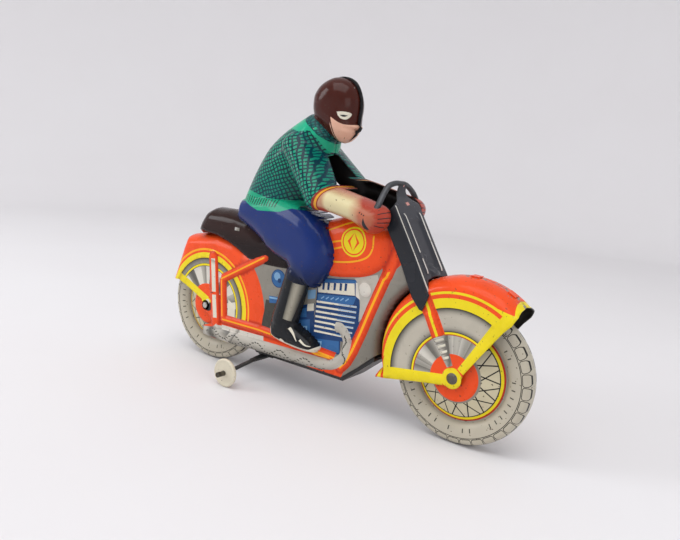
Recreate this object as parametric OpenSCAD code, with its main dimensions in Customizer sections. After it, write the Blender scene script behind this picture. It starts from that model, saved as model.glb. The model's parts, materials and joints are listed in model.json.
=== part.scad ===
// Wind-up tin motorcycle ridden by a masked rider, as it comes apart on a bench.
// X points forwards, Y to the rider's left and Z up. The origin is on the floor,
// midway between the two axles, on the seam where the pressed halves meet.

/* [Overall] */
// Distance between the two axles
wheelbase = 138.9; // [125:0.1:170]
// Outer radius of the two road wheels
wheel_r = 29; // [24.5:0.1:35]
// Thickness of the printed tin sheet
gauge = 0.5; // [0.4:0.1:0.7]
// Radial running clearance of a shaft in its hole
run_gap = 0.05; // [0.02:0.01:0.09]
// Gap between pieces that only pass each other
pass_gap = 0.3; // [0.2:0.05:0.5]

/* [Road wheels] */
// Half width of the tyre at its fattest
tyre_half_w = 4.9; // [4:0.1:5.2]
// Radius where the tyre meets the rim
rim_r = 19.4; // [17:0.1:21]
// Radius of the flat hub face
hub_r = 9.75; // [8:0.05:11]
// Distance from the seam plane to the outer hub face
hub_out = 8.5; // [7.5:0.1:8.6]
// Radius of both wheel axles
axle_r = 1.5; // [1:0.1:1.9]

/* [Body] */
// Half width of the plain side panel
panel_half_w = 9.2; // [9.1:0.1:10.5]
// Half width of the rear mudguard
guard_half_w = 9.9; // [9.6:0.1:11]
// Half width of the fuel tank
tank_half_w = 12.2; // [11:0.1:14]
// Half width of the seat
seat_half_w = 9.6; // [8:0.1:11]
// Height from the axle line down to the bottom edge of the side panel
panel_drop = 14.5; // [13:0.1:15.5]

/* [Front mudguard and fork] */
// Half width of the front mudguard
front_half_w = 10.8; // [10.4:0.1:12]
// Height of the crest circle's centre over the front axle
crest_lift = 4.5; // [3:0.1:6]
// Gap between the tyre and the crest circle
crest_gap = 6; // [4:0.1:9]
// Half width of the fork cover
cover_half_w = 11.4; // [11.4:0.1:13]
// Lean of the fork from upright, in degrees
rake = 31.3; // [28:0.1:34]
// Reach of each handlebar end from the centre
bar_reach = 17.2; // [15:0.1:19]

/* [Outriggers] */
// Radius of the two small steadying wheels
outrig_r = 6.66; // [5:0.01:8]
// Distance from the centre to the middle of a steadying wheel
outrig_reach = 28.4; // [24:0.1:33]
// Distance of the steadying wheels behind the middle
outrig_back = 34.6; // [28:0.1:37]

/* [Clockwork] */
// Gear module, the pitch diameter over the number of teeth
gear_m = 0.8; // [0.7:0.01:0.82]
// Play between meshing teeth, along the pitch circle
gear_play = 0.16; // [0.1:0.01:0.25]
// Width of the gears of the lower train
train_w = 1.2; // [0.8:0.1:1.3]
// Thickness of the two movement plates
plate_t = 0.8; // [0.6:0.1:0.9]
// Radius of the arbors in the movement
arbor_r = 1.1; // [0.8:0.1:1.3]
// Width of the mainspring
spring_w = 7; // [5:0.5:7.5]
// Reach of the key from the seam plane
key_reach = 31; // [29:0.5:32.5]

/* [Rider] */
// Half width of the rider's head
head_half_w = 9.8; // [8:0.1:11]
// Half width across the rider's knees
knee_half_w = 20.5; // [19.5:0.1:21]
// Radius of the rider's hands
hand_r = 5.2; // [4:0.1:5.6]

/* [Hidden] */

tiny = 0.01;
fine = 96;
coarse = 16;

// Wheel centres
axle_z = wheel_r;
front_x = wheelbase / 2;
rear_x = -wheelbase / 2;

// Front mudguard: its crest is a circle set above the axle
crest_r = wheel_r + crest_gap;
crest_x = front_x - 0.7;
crest_z = axle_z + crest_lift;
guard_back = crest_x - crest_r;
guard_from = 56;
guard_to = 196;

// Clockwork: teeth, pitch radii and places across the body
great_n = 40;
pinion_n = 10;
wheel_n = 30;
great_r = gear_m * great_n / 2;
pinion_r = gear_m * pinion_n / 2;
wheel_pr = gear_m * wheel_n / 2;
plate_y = panel_half_w - gauge - plate_t - 0.3;
train_y = plate_y - 0.7 - train_w;
spring_y = 1 - plate_y;
great_y = spring_y + spring_w + 2.2;
wind_x = 45 - crest_r;
wind_z = axle_z + 7;
second_dx = -sqrt(pow(great_r + pinion_r, 2) - pow(2.5, 2));
second_x = wind_x + second_dx;
second_z = wind_z - 2.5;
governor_lean = 109;
governor_x = second_x + (wheel_pr + pinion_r) * cos(governor_lean);
governor_z = second_z + (wheel_pr + pinion_r) * sin(governor_lean);

// Two equal idlers bridge the distance from the second wheel to the rear gear
span = norm([second_x - rear_x, second_z - axle_z]);
idler_n = ceil((span - 2 * wheel_pr) / 2 / gear_m);
idler_r = gear_m * idler_n / 2;
span_dir = atan2(axle_z - second_z, rear_x - second_x);
run = (span - 2 * idler_r) / 2;
rise = sqrt(pow(wheel_pr + idler_r, 2) - run * run);
idler_a = [second_x, second_z] + run * [cos(span_dir), sin(span_dir)]
    + rise * [sin(span_dir), -cos(span_dir)];
idler_b = idler_a + 2 * idler_r * [cos(span_dir), sin(span_dir)];

// Bottom edges of the side panel and of the tray under it, and where both turn up in front
sill = axle_z - panel_drop;
belly_z = sill - 1.8;
sill_x = guard_back - 16.75;

// Outriggers
pin_r = 0.8;
outrig_w = 1.7;

// Fork cover front face, given by its place at the height of the tank
face_x0 = front_x - 13.6;
face_z0 = crest_z + crest_r - 8.5;

// ---- Drawing helpers ----

// Stands a flat profile, drawn in X and Z, up between two places across Y
module side(y0, y1) {
    translate([0, y1, 0]) rotate([90, 0, 0]) linear_extrude(y1 - y0) children();
}

// Lays a turned shape's axis along Y, its own +Z towards the right side
module on_axle(x, z) {
    translate([x, 0, z]) rotate([90, 0, 0]) children();
}

// Cylinder along Y between two places
module bar_y(x, z, r, y0, y1) {
    translate([x, y1, z]) rotate([90, 0, 0]) cylinder(h = y1 - y0, r = r, $fn = fine);
}

// Round bar between two points
module rod(p, q, r) {
    d = q - p;
    translate(p) rotate([0, atan2(norm([d.x, d.y]), d.z), atan2(d.y, d.x)])
        cylinder(h = norm(d), r = r, $fn = 48);
}

// Offsets a sheet's section to its inner face, by the normal at each point
function inner_face(pts, t) = [for (i = [0 : len(pts) - 1])
    let (a = pts[max(i - 1, 0)], b = pts[min(i + 1, len(pts) - 1)], d = (b - a) / norm(b - a))
    pts[i] - t * [d.y, -d.x]];

// Closes a sheet's section from its outer face, square to the seam where it starts
function sheet(pts, t) = let (inner = inner_face(pts, t))
    concat(pts, [for (i = [len(pts) - 1 : -1 : 1]) inner[i]], [[pts[0].x - t, 0]]);

function arc(x, z, r, a0, a1, n) = [for (i = [0 : n])
    [x + r * cos(a0 + (a1 - a0) * i / n), z + r * sin(a0 + (a1 - a0) * i / n)]];

// Outline of a line with a width
module stroke(p, q, w) {
    n = w / 2 * [-(q - p).y, (q - p).x] / norm(q - p);
    polygon([p + n, q + n, q - n, p - n]);
}

module mirror_half() {
    mirror([0, 1, 0]) children();
}

// ---- Gears ----

pressure = 25;
function inv(a) = tan(a) * 180 / PI - a;
function half_tooth(r, n, rho) = let (rb = r * cos(pressure))
    90 / n - gear_play / r * 45 / PI + inv(pressure) - inv(acos(min(1, rb / max(rho, rb))));

function tooth_radii(r) = let (rb = r * cos(pressure), root = r - 1.1 * gear_m)
    rb > root ? [root, rb, r, r + 0.7 * gear_m] : [root, r, r + 0.7 * gear_m];

function gear_outline(r, n) = let (rr = tooth_radii(r), k = len(rr))
    [for (i = [0 : n - 1]) for (j = [0 : 2 * k - 1])
        let (q = j < k ? j : 2 * k - 1 - j, s = j < k ? -1 : 1,
            a = i * 360 / n + s * half_tooth(r, n, rr[q]))
        rr[q] * [cos(a), sin(a)]];

// Turn that puts a gear in mesh with the one before it
function meshed(turn, n0, n1, dir) = dir + 180 - (180 - n0 * (dir - turn)) / n1;
function bearing(p, q) = atan2(q[1] - p[1], q[0] - p[0]);

wind_at = [wind_x, wind_z];
second_at = [second_x, second_z];
governor_at = [governor_x, governor_z];
rear_at = [rear_x, axle_z];
pinion_turn = meshed(0, great_n, pinion_n, bearing(wind_at, second_at));
idler_a_turn = meshed(0, wheel_n, idler_n, bearing(second_at, idler_a));
idler_b_turn = meshed(idler_a_turn, idler_n, idler_n, bearing(idler_a, idler_b));
rear_turn = meshed(idler_b_turn, idler_n, wheel_n, bearing(idler_b, rear_at));
governor_turn = meshed(0, wheel_n, pinion_n, bearing(second_at, governor_at));

module gear(at, turn, r, n, y0, y1, bore) {
    difference() {
        translate([at.x, y1, at.y]) rotate([90, 0, 0])
            linear_extrude(y1 - y0) rotate(turn) polygon(gear_outline(r, n));
        bar_y(at.x, at.y, bore, y0 - 1, y1 + 1);
    }
}

// ---- Body ----

// Side panel between the wheels; its front edge follows the front mudguard
module panel_outline() {
    polygon(concat(
        [[-42, sill], [sill_x, sill]],
        arc(crest_x, crest_z, crest_r + pass_gap, 188, 124, 8),
        [[face_x0 - 13.3, axle_z + 41], [face_x0 - 19.3, axle_z + 51],
         [face_x0 - 22.8, axle_z + 56], [10, axle_z + 56], [0, axle_z + 52],
         [-10, axle_z + 44], [-45, axle_z + 33], [rear_x + 19, axle_z + 30],
         [rear_x + 27, axle_z]]));
}

// Rear mudguard at the seam: a tail cut off square, a flat top and a round front
module guard_outline() {
    polygon(concat(
        [[rear_x - wheel_r, axle_z + 8.5], [rear_x - 19.3, axle_z + 33.8],
         [rear_x - 11, axle_z + crest_r + 0.4]],
        arc(rear_x, axle_z, crest_r + 4, 66, -12, 12),
        [[rear_x + 11, axle_z - 8], [rear_x - 2, axle_z - 6]]));
}

module tank_outline() {
    polygon([[-6, axle_z + 32], [8, axle_z + 30.5], [22, axle_z + 31.6], [31.5, axle_z + 37],
        [36, axle_z + 45], [36, axle_z + 53], [28, axle_z + 56], [12, axle_z + 57],
        [0, axle_z + 53]]);
}

// A pressed bulge: full outline at the seam, drawn in towards its flat face
module bulge(w, edge, g) {
    hull() {
        side(-w * 0.35, 0) offset(delta = g) children();
        side(-w * 0.82, 0) offset(delta = g - edge * 0.3) children();
        side(-w - g, 0) offset(delta = g - edge) children();
    }
}

module frame_tubes_outline() {
    stroke([rear_x + 12.5, axle_z + 15], [-31, axle_z + 32], 4.5);
    stroke([rear_x + 12.5, axle_z + 16], [rear_x + 14.5, axle_z - 6], 4.5);
    stroke([rear_x + 12, axle_z - 5], [sill_x, axle_z - 7.5], 4.5);
    stroke([sill_x + 4.5, axle_z - 6.5], [sill_x + 23, axle_z + 42], 5);
}

// Solid envelope of the right half, grown by g, from which both skins are cut
module body_solid(g) {
    side(-panel_half_w - g, 0) offset(delta = g) panel_outline();
    difference() {
        bulge(guard_half_w, 5, g) guard_outline();
        side(-guard_half_w - 2, 1) polygon([
            [rear_x - 42, axle_z + 8.5 - g], [rear_x - 19, axle_z + 8.5 - g],
            [rear_x - 5, axle_z + 1 - g], [rear_x - 3, axle_z - 4 - g],
            [rear_x, axle_z - 5 - g], [rear_x + 9, axle_z - 8 - g],
            [rear_x + 9, axle_z - 30], [rear_x - 42, axle_z - 30]]);
    }
    bulge(tank_half_w, 5, g) tank_outline();
    side(-panel_half_w - 1 - g, 0) offset(delta = g) frame_tubes_outline();
    side(-panel_half_w - 1.6 - g, 0) offset(delta = g) polygon([
        [rear_x, sill - 1.5], [rear_x + 28, sill - 1], [rear_x + 33, sill + 0.2],
        [sill_x - 4, sill + 0.2], [sill_x + 2, axle_z - 8], [sill_x + 2, axle_z - 5],
        [sill_x - 5, axle_z - 8.5],
        [rear_x + 2, axle_z - 8.5]]);
    side(-panel_half_w - 1.2 - g, 0) offset(delta = g) polygon([
        [-13, axle_z - 5], [sill_x - 2, axle_z - 5], [sill_x + 7, axle_z + 8],
        [sill_x + 7, axle_z + 16], [sill_x + 5, axle_z + 28], [2, axle_z + 28], [0, axle_z + 20], [-13, axle_z + 20]]);
}

module body_half() {
    difference() {
        body_solid(0);
        body_solid(-gauge);
        // the well that the rear wheel turns in, wider at its domed hub
        bar_y(rear_x, axle_z, wheel_r + 1.6, -tyre_half_w - 1.4, 1);
        bar_y(rear_x, axle_z, rim_r + 1.6, -hub_out - pass_gap, 1);
        // hole for the rear axle's bush
        bar_y(rear_x, axle_z, axle_r + 1.1, -guard_half_w - 1, -guard_half_w + 2);
    }
}

module body_shell_right() {
    color("orangered") body_half();
}

module body_shell_left() {
    color("orangered") difference() {
        mirror_half() body_half();
        bar_y(wind_x, wind_z, arbor_r + 1.2, panel_half_w - 2, panel_half_w + 3);
    }
}

// Black tray that closes the body underneath and carries the outriggers
module belly_plate() {
    half = panel_half_w - 0.6;
    front = guard_back - 1.2;
    color("black") difference() {
        side(-half, half) polygon([[-36, sill], [-34, belly_z], [sill_x + 0.6, belly_z],
            [front, axle_z - 3.5], [front - 0.3, axle_z - 1.4], [sill_x, sill]]);
        side(-half + gauge, half - gauge) polygon([[-35, sill], [-33.6, belly_z + gauge],
            [sill_x + 0.4, belly_z + gauge], [front - 0.2, axle_z - 3], [front, axle_z], [sill_x, sill]]);
        side(-half - 1, half + 1) polygon([[-50, sill], [sill_x, sill],
            for (p = arc(crest_x, crest_z, crest_r + pass_gap, 188, 180, 1)) p,
            [-50, axle_z + 5]]);
    }
}

module seat_outline() {
    polygon([[rear_x - 6, axle_z + 34], [rear_x - 5.4, axle_z + 42], [rear_x - 1.5, axle_z + 47.5],
        [rear_x + 3, axle_z + 49.2], [-40, axle_z + 49.2], [-29, axle_z + 42],
        [-29, axle_z + 33], [-44, axle_z + 30]]);
}

module seat_solid(g) {
    bulge(seat_half_w, 3, g) seat_outline();
}

module seat_cover() {
    color([0.2, 0.1, 0.09]) difference() {
        union() { seat_solid(0); mirror_half() seat_solid(0); }
        union() { seat_solid(-gauge); mirror_half() seat_solid(-gauge); }
        union() { body_solid(0.05); mirror_half() body_solid(0.05); }
        side(-seat_half_w - 1, seat_half_w + 1) polygon([[-90, 0], [0, 0], [0, axle_z + 36],
            [-44, axle_z + 33], [-90, axle_z + 33]]);
    }
}

// Bent-over tabs that lock the two body halves along the seam
module seam_tabs() {
    top = axle_z + 57 + 0.05;
    color("silver") {
        for (x = [14, 26]) translate([x, -1.6, top - (x > 20 ? 0.6 : 0)]) cube([3, 3.2, 0.4]);
        translate([rear_x - 13, -1.6, axle_z + crest_r + 0.9]) cube([3, 3.2, 0.4]);
    }
}

// ---- Front mudguard and fork ----

// Section of the guard's rolled edge, as distance from the crest centre and from the seam
function roll(w) = [[crest_r, 0], [crest_r - 0.5, w * 0.45], [crest_r - 2.4, w * 0.8],
    [crest_r - 5, w]];

// The guard's sector plate covers the wheel from its rear stay to its front stay
module front_guard_half() {
    difference() {
        union() {
            translate([crest_x, 0, crest_z]) rotate([90, 0, 0])
                rotate_extrude(angle = guard_to - guard_from, start = guard_from, $fn = 128)
                polygon(sheet(roll(front_half_w), gauge));
            side(-front_half_w, -front_half_w + gauge) {
                polygon(concat([[front_x - 1, axle_z - 4], [front_x + 3, axle_z - 2]],
                    arc(crest_x, crest_z, crest_r - 5 + tiny, guard_from - 6, guard_to, 24)));
                translate([front_x, axle_z]) circle(r = 4.2, $fn = 48);
            }
        }
        bar_y(front_x, axle_z, axle_r, -front_half_w - 1, 0);
    }
}

module front_guard_right() {
    color("orange") front_guard_half();
}

module front_guard_left() {
    color("orange") mirror_half() front_guard_half();
}

module guard_crest_tabs() {
    color("orangered") for (a = [62, 88])
        translate([crest_x, 0, crest_z]) rotate([0, 90 - a, 0])
            translate([-1.8, -2, crest_r + tiny]) cube([3.6, 4, 0.4]);
}

// Point on the cover's front face at height dz over its reference, set back by d
function face(dz, d) = [face_x0 - dz * tan(rake) - d / cos(rake), face_z0 + dz];

module cover_outline(d) {
    polygon([face(33, d), face(32, d + 2.2), face(27, d + 5.6 * (1 - d / 6)), face(-6.5, d + 5.2),
        face(-4.5, d + 2.2), face(0, d)]);
}

module cover_solid(g) {
    side(-cover_half_w - g, cover_half_w + g) offset(delta = g) cover_outline(0);
}

// Bent channel over the fork, open behind and below, cut to straddle the mudguard
module fork_cover() {
    color([0.22, 0.22, 0.24]) difference() {
        cover_solid(0);
        side(-cover_half_w + gauge, cover_half_w - gauge) polygon([face(36, gauge), face(36, 20),
            face(-12, 20), face(-12, gauge)]);
        translate([crest_x, 0, crest_z]) rotate([90, 0, 0]) translate([0, 0, -front_half_w - 0.1])
            cylinder(h = 2 * front_half_w + 0.2, r = crest_r + 0.05, $fn = fine);
    }
}

module steering_post() {
    a = face(29, gauge + 2.1);
    b = face(9, gauge + 2.1);
    color("silver") rod([a.x, 0, a.y], [b.x, 0, b.y], 1.6);
}

// Flat bar bent up over the middle, its ends held in the rider's hands
bar_r = 1.6;
bar_end = [face_x0 - 25, bar_reach, axle_z + 59.5];
bar_top = [face_x0 - 23, 5.5, axle_z + 70.5];
module handlebar() {
    mid = [bar_top.x, 0, bar_top.z + 0.6];
    neck = face(31.5, 0.8);
    color("dimgray") difference() {
        union() {
            for (s = [-1, 1]) {
                top = [bar_top.x, s * bar_top.y, bar_top.z];
                rod([bar_end.x, s * bar_end.y, bar_end.z], top, bar_r);
                rod(top, mid, bar_r);
                translate(top) sphere(r = bar_r + 0.15, $fn = 32);
            }
            translate(mid) sphere(r = bar_r + 0.15, $fn = 32);
            rod(mid, [neck.x, 0, neck.y], bar_r);
        }
        cover_solid(0.02);
    }
}

// ---- Road wheels ----

// Section of a pressed wheel half, from the tread's middle in to the hub, as
// distance from the axle and from the seam
function wheel_section(out, bore) = [[wheel_r, 0], [wheel_r - 0.1, 1.6], [wheel_r - 0.45, 3.1],
    [wheel_r - 1.2, tyre_half_w - 0.6], [wheel_r - 2.6, tyre_half_w - 0.1],
    [wheel_r - 4.6, tyre_half_w], [wheel_r - 7, tyre_half_w - 0.5], [rim_r + 0.7, 3.2],
    [rim_r, 2.4], [hub_r + 0.9, out - 0.9], [hub_r, out], [bore, out]];

module wheel_half(out, bore) {
    rotate_extrude($fn = fine) polygon(sheet(wheel_section(out, bore), gauge));
}

rear_left_out = tyre_half_w;
module rear_wheel_right() {
    color("ivory") on_axle(rear_x, axle_z) wheel_half(hub_out, axle_r);
}

module rear_wheel_left() {
    color("ivory") mirror_half() on_axle(rear_x, axle_z) wheel_half(rear_left_out, axle_r);
}

module front_wheel_right() {
    color("ivory") on_axle(front_x, axle_z) wheel_half(hub_out, axle_r + run_gap);
}

module front_wheel_left() {
    color("ivory") mirror_half() front_wheel_right();
}

module front_hub_tube() {
    half = hub_out - gauge;
    color("gray") difference() {
        bar_y(front_x, axle_z, axle_r + 1.1, -half, half);
        bar_y(front_x, axle_z, axle_r + run_gap, -half - 1, half + 1);
    }
}

// Riveted over outside both mudguard halves, so it stands still
module front_axle() {
    color("silver") {
        bar_y(front_x, axle_z, axle_r, -front_half_w, front_half_w);
        for (s = [0, 1]) mirror([0, s, 0]) on_axle(front_x, axle_z)
            translate([0, 0, front_half_w]) cylinder(h = 0.8, r1 = axle_r + 0.9, r2 = axle_r, $fn = fine);
    }
}

module rear_axle() {
    half = guard_half_w + 0.6;
    color("silver") bar_y(rear_x, axle_z, axle_r, -half, half);
}

module rear_axle_bushes() {
    color("black") for (s = [0, 1]) mirror([0, s, 0]) difference() {
        bar_y(rear_x, axle_z, axle_r + 1.1, -guard_half_w, -guard_half_w + gauge);
        bar_y(rear_x, axle_z, axle_r + run_gap, -guard_half_w - 1, -guard_half_w + 2);
    }
}

// ---- Clockwork ----

module plate_outline_front() {
    polygon([pillars[3] - [3, 2.2], [wind_x - 12, axle_z - 13.2], [wind_x + 2, axle_z - 12],
        [wind_x + 14, axle_z - 4], [wind_x + 21, axle_z + 12], [wind_x + 4, axle_z + 30],
        [wind_x - 8, axle_z + 30], [wind_x - 27, axle_z + 27], pillars[4] + [-5, 1]]);
}

module plate_outline_rear() {
    polygon([pillars[4] - [1, 0], [rear_x + 16, axle_z + 15], [rear_x - 2.2, axle_z + 4],
        [rear_x - 2.4, axle_z - 2.5], [rear_x + 3, axle_z - 4.2], pillars[3] + [1, -2]]);
}

pillars = [[wind_x - 12, axle_z - 10.5], [wind_x + 18.5, axle_z + 12], [wind_x - 4, axle_z + 27],
    idler_a - [0, idler_r + 4.4], idler_a + [2, idler_r + 3.2]];
pillar_r = 1.6;
pillar_tip_r = 0.9;

module plate_holes(y0) {
    for (p = pillars) bar_y(p[0], p[1], pillar_tip_r, y0 - 1, y0 + plate_t + 1);
    for (p = [wind_at, second_at, governor_at])
        bar_y(p[0], p[1], arbor_r + run_gap, y0 - 1, y0 + plate_t + 1);
}

module motor_plate_right() {
    color("silver") difference() {
        side(-plate_y - plate_t, -plate_y) plate_outline_front();
        plate_holes(-plate_y - plate_t);
    }
}

module motor_plate_left() {
    color("silver") difference() {
        side(plate_y, plate_y + plate_t) { plate_outline_front(); plate_outline_rear(); }
        plate_holes(plate_y);
        bar_y(rear_x, axle_z, axle_r + run_gap, plate_y - 1, plate_y + 2);
        for (p = [idler_a, idler_b]) bar_y(p[0], p[1], arbor_r, plate_y - 1, plate_y + 2);
    }
}

// Shouldered pillars, riveted through both plates
module motor_pillars() {
    tip = panel_half_w - gauge;
    color("silver") for (p = pillars) {
        bar_y(p[0], p[1], pillar_r, -plate_y, plate_y);
        bar_y(p[0], p[1], pillar_tip_r, -tip, tip);
    }
}

// Coiled strip, hooked to the winding arbor inside and round a pillar outside
spring_turns = 6;
function coil_r(a) = arbor_r + 0.6 + (14 - arbor_r) * a / (360 * spring_turns);
module mainspring() {
    strip = 0.35;
    steps = spring_turns * 18;
    pts = [for (i = [0 : steps]) let (a = i * 20) coil_r(a) * [cos(a), sin(a)]];
    back = [for (i = [steps : -1 : 0]) let (a = i * 20) (coil_r(a) + strip) * [cos(a), sin(a)]];
    last = wind_at + pts[steps];
    post = pillars[1];
    color("slategray") side(spring_y, spring_y + spring_w) {
        translate(wind_at) polygon(concat(pts, back));
        stroke(last, post - (pillar_r + tiny) * (post - last) / norm(post - last), strip);
    }
}

module winding_arbor() {
    color("silver") bar_y(wind_x, wind_z, arbor_r, -plate_y - plate_t, key_reach - 11);
}

module ratchet_wheel() {
    n = 12;
    color("goldenrod") difference() {
        side(great_y - 1.2, great_y - 0.2) translate(wind_at) polygon([for (i = [0 : n - 1])
            for (q = [[0, 4.4], [0, 3.4]]) q[1] * [cos((i + q[0]) * 360 / n + (q[1] < 4 ? 3 : 0)),
                sin((i + q[0]) * 360 / n + (q[1] < 4 ? 3 : 0))]]);
        bar_y(wind_x, wind_z, arbor_r, great_y - 2, great_y + 1);
    }
}

module winding_key() {
    start = panel_half_w + 3.2;
    color("silver") difference() {
        union() {
            bar_y(wind_x, wind_z, arbor_r + 0.9, start, key_reach - 9);
            side(key_reach - 10, key_reach) {
                translate(wind_at) square([1.4, 6], center = true);
            }
            translate([wind_x - 0.7, key_reach - 4.8, wind_z]) rotate([0, 90, 0])
                linear_extrude(1.4) for (s = [-1, 1]) translate([s * 4.9, 0])
                difference() { circle(r = 4.8, $fn = 64); circle(r = 2.2, $fn = 48); }
        }
        bar_y(wind_x, wind_z, arbor_r, start - 1, key_reach - 11);
    }
}

module great_wheel() {
    color("goldenrod") gear(wind_at, 0, great_r, great_n, great_y, great_y + train_w,
        arbor_r + run_gap);
}

// Springy pawl riveted on the great wheel's face, its tip in the ratchet's teeth
module ratchet_click() {
    color("silver") side(great_y - 1, great_y) translate(wind_at) {
        stroke([-6.8, 5.8], [-4.2, 3.4], 1);
        translate([-6.8, 5.8]) circle(r = 1.3, $fn = 32);
    }
}

module second_arbor() {
    color("silver") bar_y(second_x, second_z, arbor_r, -plate_y - plate_t, plate_y + plate_t);
}

module second_pinion() {
    color("goldenrod") gear(second_at, pinion_turn, pinion_r, pinion_n, great_y - 0.3,
        great_y + train_w + 0.3, arbor_r);
}

module second_wheel() {
    color("goldenrod") gear(second_at, 0, wheel_pr, wheel_n, train_y, train_y + train_w, arbor_r);
}

module idler_gear_front() {
    color("goldenrod") gear(idler_a, idler_a_turn, idler_r, idler_n, train_y, train_y + train_w,
        arbor_r + run_gap);
}

module idler_gear_rear() {
    color("goldenrod") gear(idler_b, idler_b_turn, idler_r, idler_n, train_y, train_y + train_w,
        arbor_r + run_gap);
}

module idler_studs() {
    color("silver") for (p = [idler_a, idler_b])
        bar_y(p[0], p[1], arbor_r, train_y - 0.2, plate_y + plate_t);
}

module rear_gear() {
    color("goldenrod") gear(rear_at, rear_turn, wheel_pr, wheel_n, train_y, train_y + train_w,
        axle_r);
}

module governor_arbor() {
    color("silver") bar_y(governor_x, governor_z, arbor_r, -plate_y - plate_t, plate_y + plate_t);
}

module governor_pinion() {
    color("goldenrod") gear(governor_at, governor_turn, pinion_r, pinion_n, train_y - 0.3,
        train_y + train_w + 0.3, arbor_r);
}

// Two-bladed air brake that keeps the wheels from racing
module governor_fan() {
    color("goldenrod") difference() {
        union() {
            bar_y(governor_x, governor_z, arbor_r + 0.9, -5, 0);
            translate([governor_x - 4.6, -5, governor_z - 0.4]) cube([9.2, 5, 0.8]);
        }
        bar_y(governor_x, governor_z, arbor_r, -6, 1);
    }
}

// ---- Outriggers ----

pin_start = outrig_reach - outrig_w / 2 - 1;

// Black strip under the belly, each end drawn out and bent down to its pin
module outrigger_bracket() {
    color("black") difference() {
        union() {
            translate([-33, -8, belly_z - 0.7]) cube([9, 16, 0.7]);
            for (s = [-1, 1]) hull() {
                translate([-31, s * 7.5 - 0.5, belly_z - 0.7]) cube([5, 1, 0.7]);
                translate([-32.5, s * 14 - 0.5, belly_z - 2.6]) cube([2.8, 1, 0.9]);
            }
            for (s = [-1, 1]) rod([-31, s * 13.8, belly_z - 2.1], [-outrig_back, s * pin_start, outrig_r],
                0.95);
        }
        for (s = [0, 1]) mirror([0, s, 0]) bar_y(-outrig_back, outrig_r, 3, pin_start, pin_start + 3);
    }
}

module outrigger_pins() {
    color("silver") for (s = [0, 1]) mirror([0, s, 0]) {
        bar_y(-outrig_back, outrig_r, 1.4, pin_start, pin_start + 0.9);
        bar_y(-outrig_back, outrig_r, pin_r, pin_start + 0.9, outrig_reach + outrig_w / 2 + 0.1);
        bar_y(-outrig_back, outrig_r, 1.2, outrig_reach + outrig_w / 2 + 0.1, outrig_reach + 5);
    }
}

module outrigger_wheel_left() {
    color("ivory") difference() {
        bar_y(-outrig_back, outrig_r, outrig_r, outrig_reach - outrig_w / 2,
            outrig_reach + outrig_w / 2);
        bar_y(-outrig_back, outrig_r, pin_r + run_gap, outrig_reach - 5, outrig_reach + 5);
    }
}

module outrigger_wheel_right() {
    mirror_half() outrigger_wheel_left();
}

// ---- Rider ----

module ball(p, r) {
    translate(p) sphere(r = r, $fn = coarse);
}

module egg(p, s) {
    translate(p) scale(s) sphere(r = 1, $fn = coarse);
}

// The rider's right half as a solid, drawn in by t
module rider_solid(t) {
    hand = [bar_end.x, -bar_reach - 0.5, axle_z + 57.3];
    elbow = [4, -18.4, axle_z + 62];
    shoulder = [-26, -11, axle_z + 81];
    knee = [-1, -knee_half_w + 7.6, axle_z + 37.5];
    ankle = [-10.5, -14.2, axle_z + 6];
    // trunk, neck and head
    hull() {
        egg([-38, 0, axle_z + 50], [13.5 - t, 12 - t, 8 - t]);
        egg([-27, 0, axle_z + 77], [13 - t, 12.5 - t, 12 - t]);
        egg([-14, 0, axle_z + 85], [11 - t, 10 - t, 10 - t]);
    }
    hull() {
        egg([-4.2, 0, axle_z + 103.2], [11.3 - t, head_half_w - t, 11.3 - t]);
        egg([0, 0, axle_z + 93.5], [6.5 - t, head_half_w - 3.5 - t, 6.5 - t]);
        egg([-9, 0, axle_z + 94], [7 - t, head_half_w - 2 - t, 7 - t]);
    }
    // arm and hand
    hull() { ball(shoulder, 7 - t); ball(elbow, 5 - t); }
    hull() { ball(elbow, 5 - t); ball(hand, 4.2 - t); }
    ball(hand, hand_r - t);
    // leg and boot
    hull() {
        ball([-38, -8.5, axle_z + 46.5], 9 - t);
        ball(knee, 7.4 - t);
    }
    hull() { ball(knee, 7.2 - t); ball(ankle, 3.8 - t); }
    hull() {
        ball([-19, -14, axle_z - 1.5], 3.2 - t);
        ball(ankle, 3.6 - t);
        ball([2, -14, axle_z - 3.4], 2.6 - t);
    }
}

module rider_half() {
    difference() {
        rider_solid(0);
        rider_solid(gauge);
        side(0, 40) translate([-100, 0]) square(300);
        body_solid(pass_gap);
        seat_solid(pass_gap);
        cover_solid(pass_gap);
        rod([bar_end.x, -bar_end.y, bar_end.z] - 0.4 * ([bar_top.x, -bar_top.y, bar_top.z]
            - [bar_end.x, -bar_end.y, bar_end.z]), [bar_top.x, -bar_top.y, bar_top.z], bar_r + 0.1);
    }
}

module rider_right() {
    color("seagreen") rider_half();
}

module rider_left() {
    color("seagreen") mirror_half() rider_half();
}

// Small steel tabs through the seat that hold the rider down
module rider_tabs() {
    color("silver") for (s = [-1, 1])
        translate([rear_x + 17.5, s * (seat_half_w + 0.3) - 0.25, axle_z + 41]) cube([3, 0.5, 1.5]);
}

body_shell_right();
body_shell_left();
belly_plate();
seat_cover();
seam_tabs();
front_guard_right();
front_guard_left();
guard_crest_tabs();
fork_cover();
steering_post();
handlebar();
front_axle();
front_wheel_right();
front_wheel_left();
front_hub_tube();
rear_axle();
rear_axle_bushes();
rear_wheel_right();
rear_wheel_left();
rear_gear();
motor_plate_right();
motor_plate_left();
motor_pillars();
mainspring();
winding_arbor();
ratchet_wheel();
winding_key();
great_wheel();
ratchet_click();
second_arbor();
second_pinion();
second_wheel();
idler_gear_front();
idler_gear_rear();
idler_studs();
governor_arbor();
governor_pinion();
governor_fan();
outrigger_bracket();
outrigger_pins();
outrigger_wheel_right();
outrigger_wheel_left();
rider_right();
rider_left();
rider_tabs();
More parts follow.
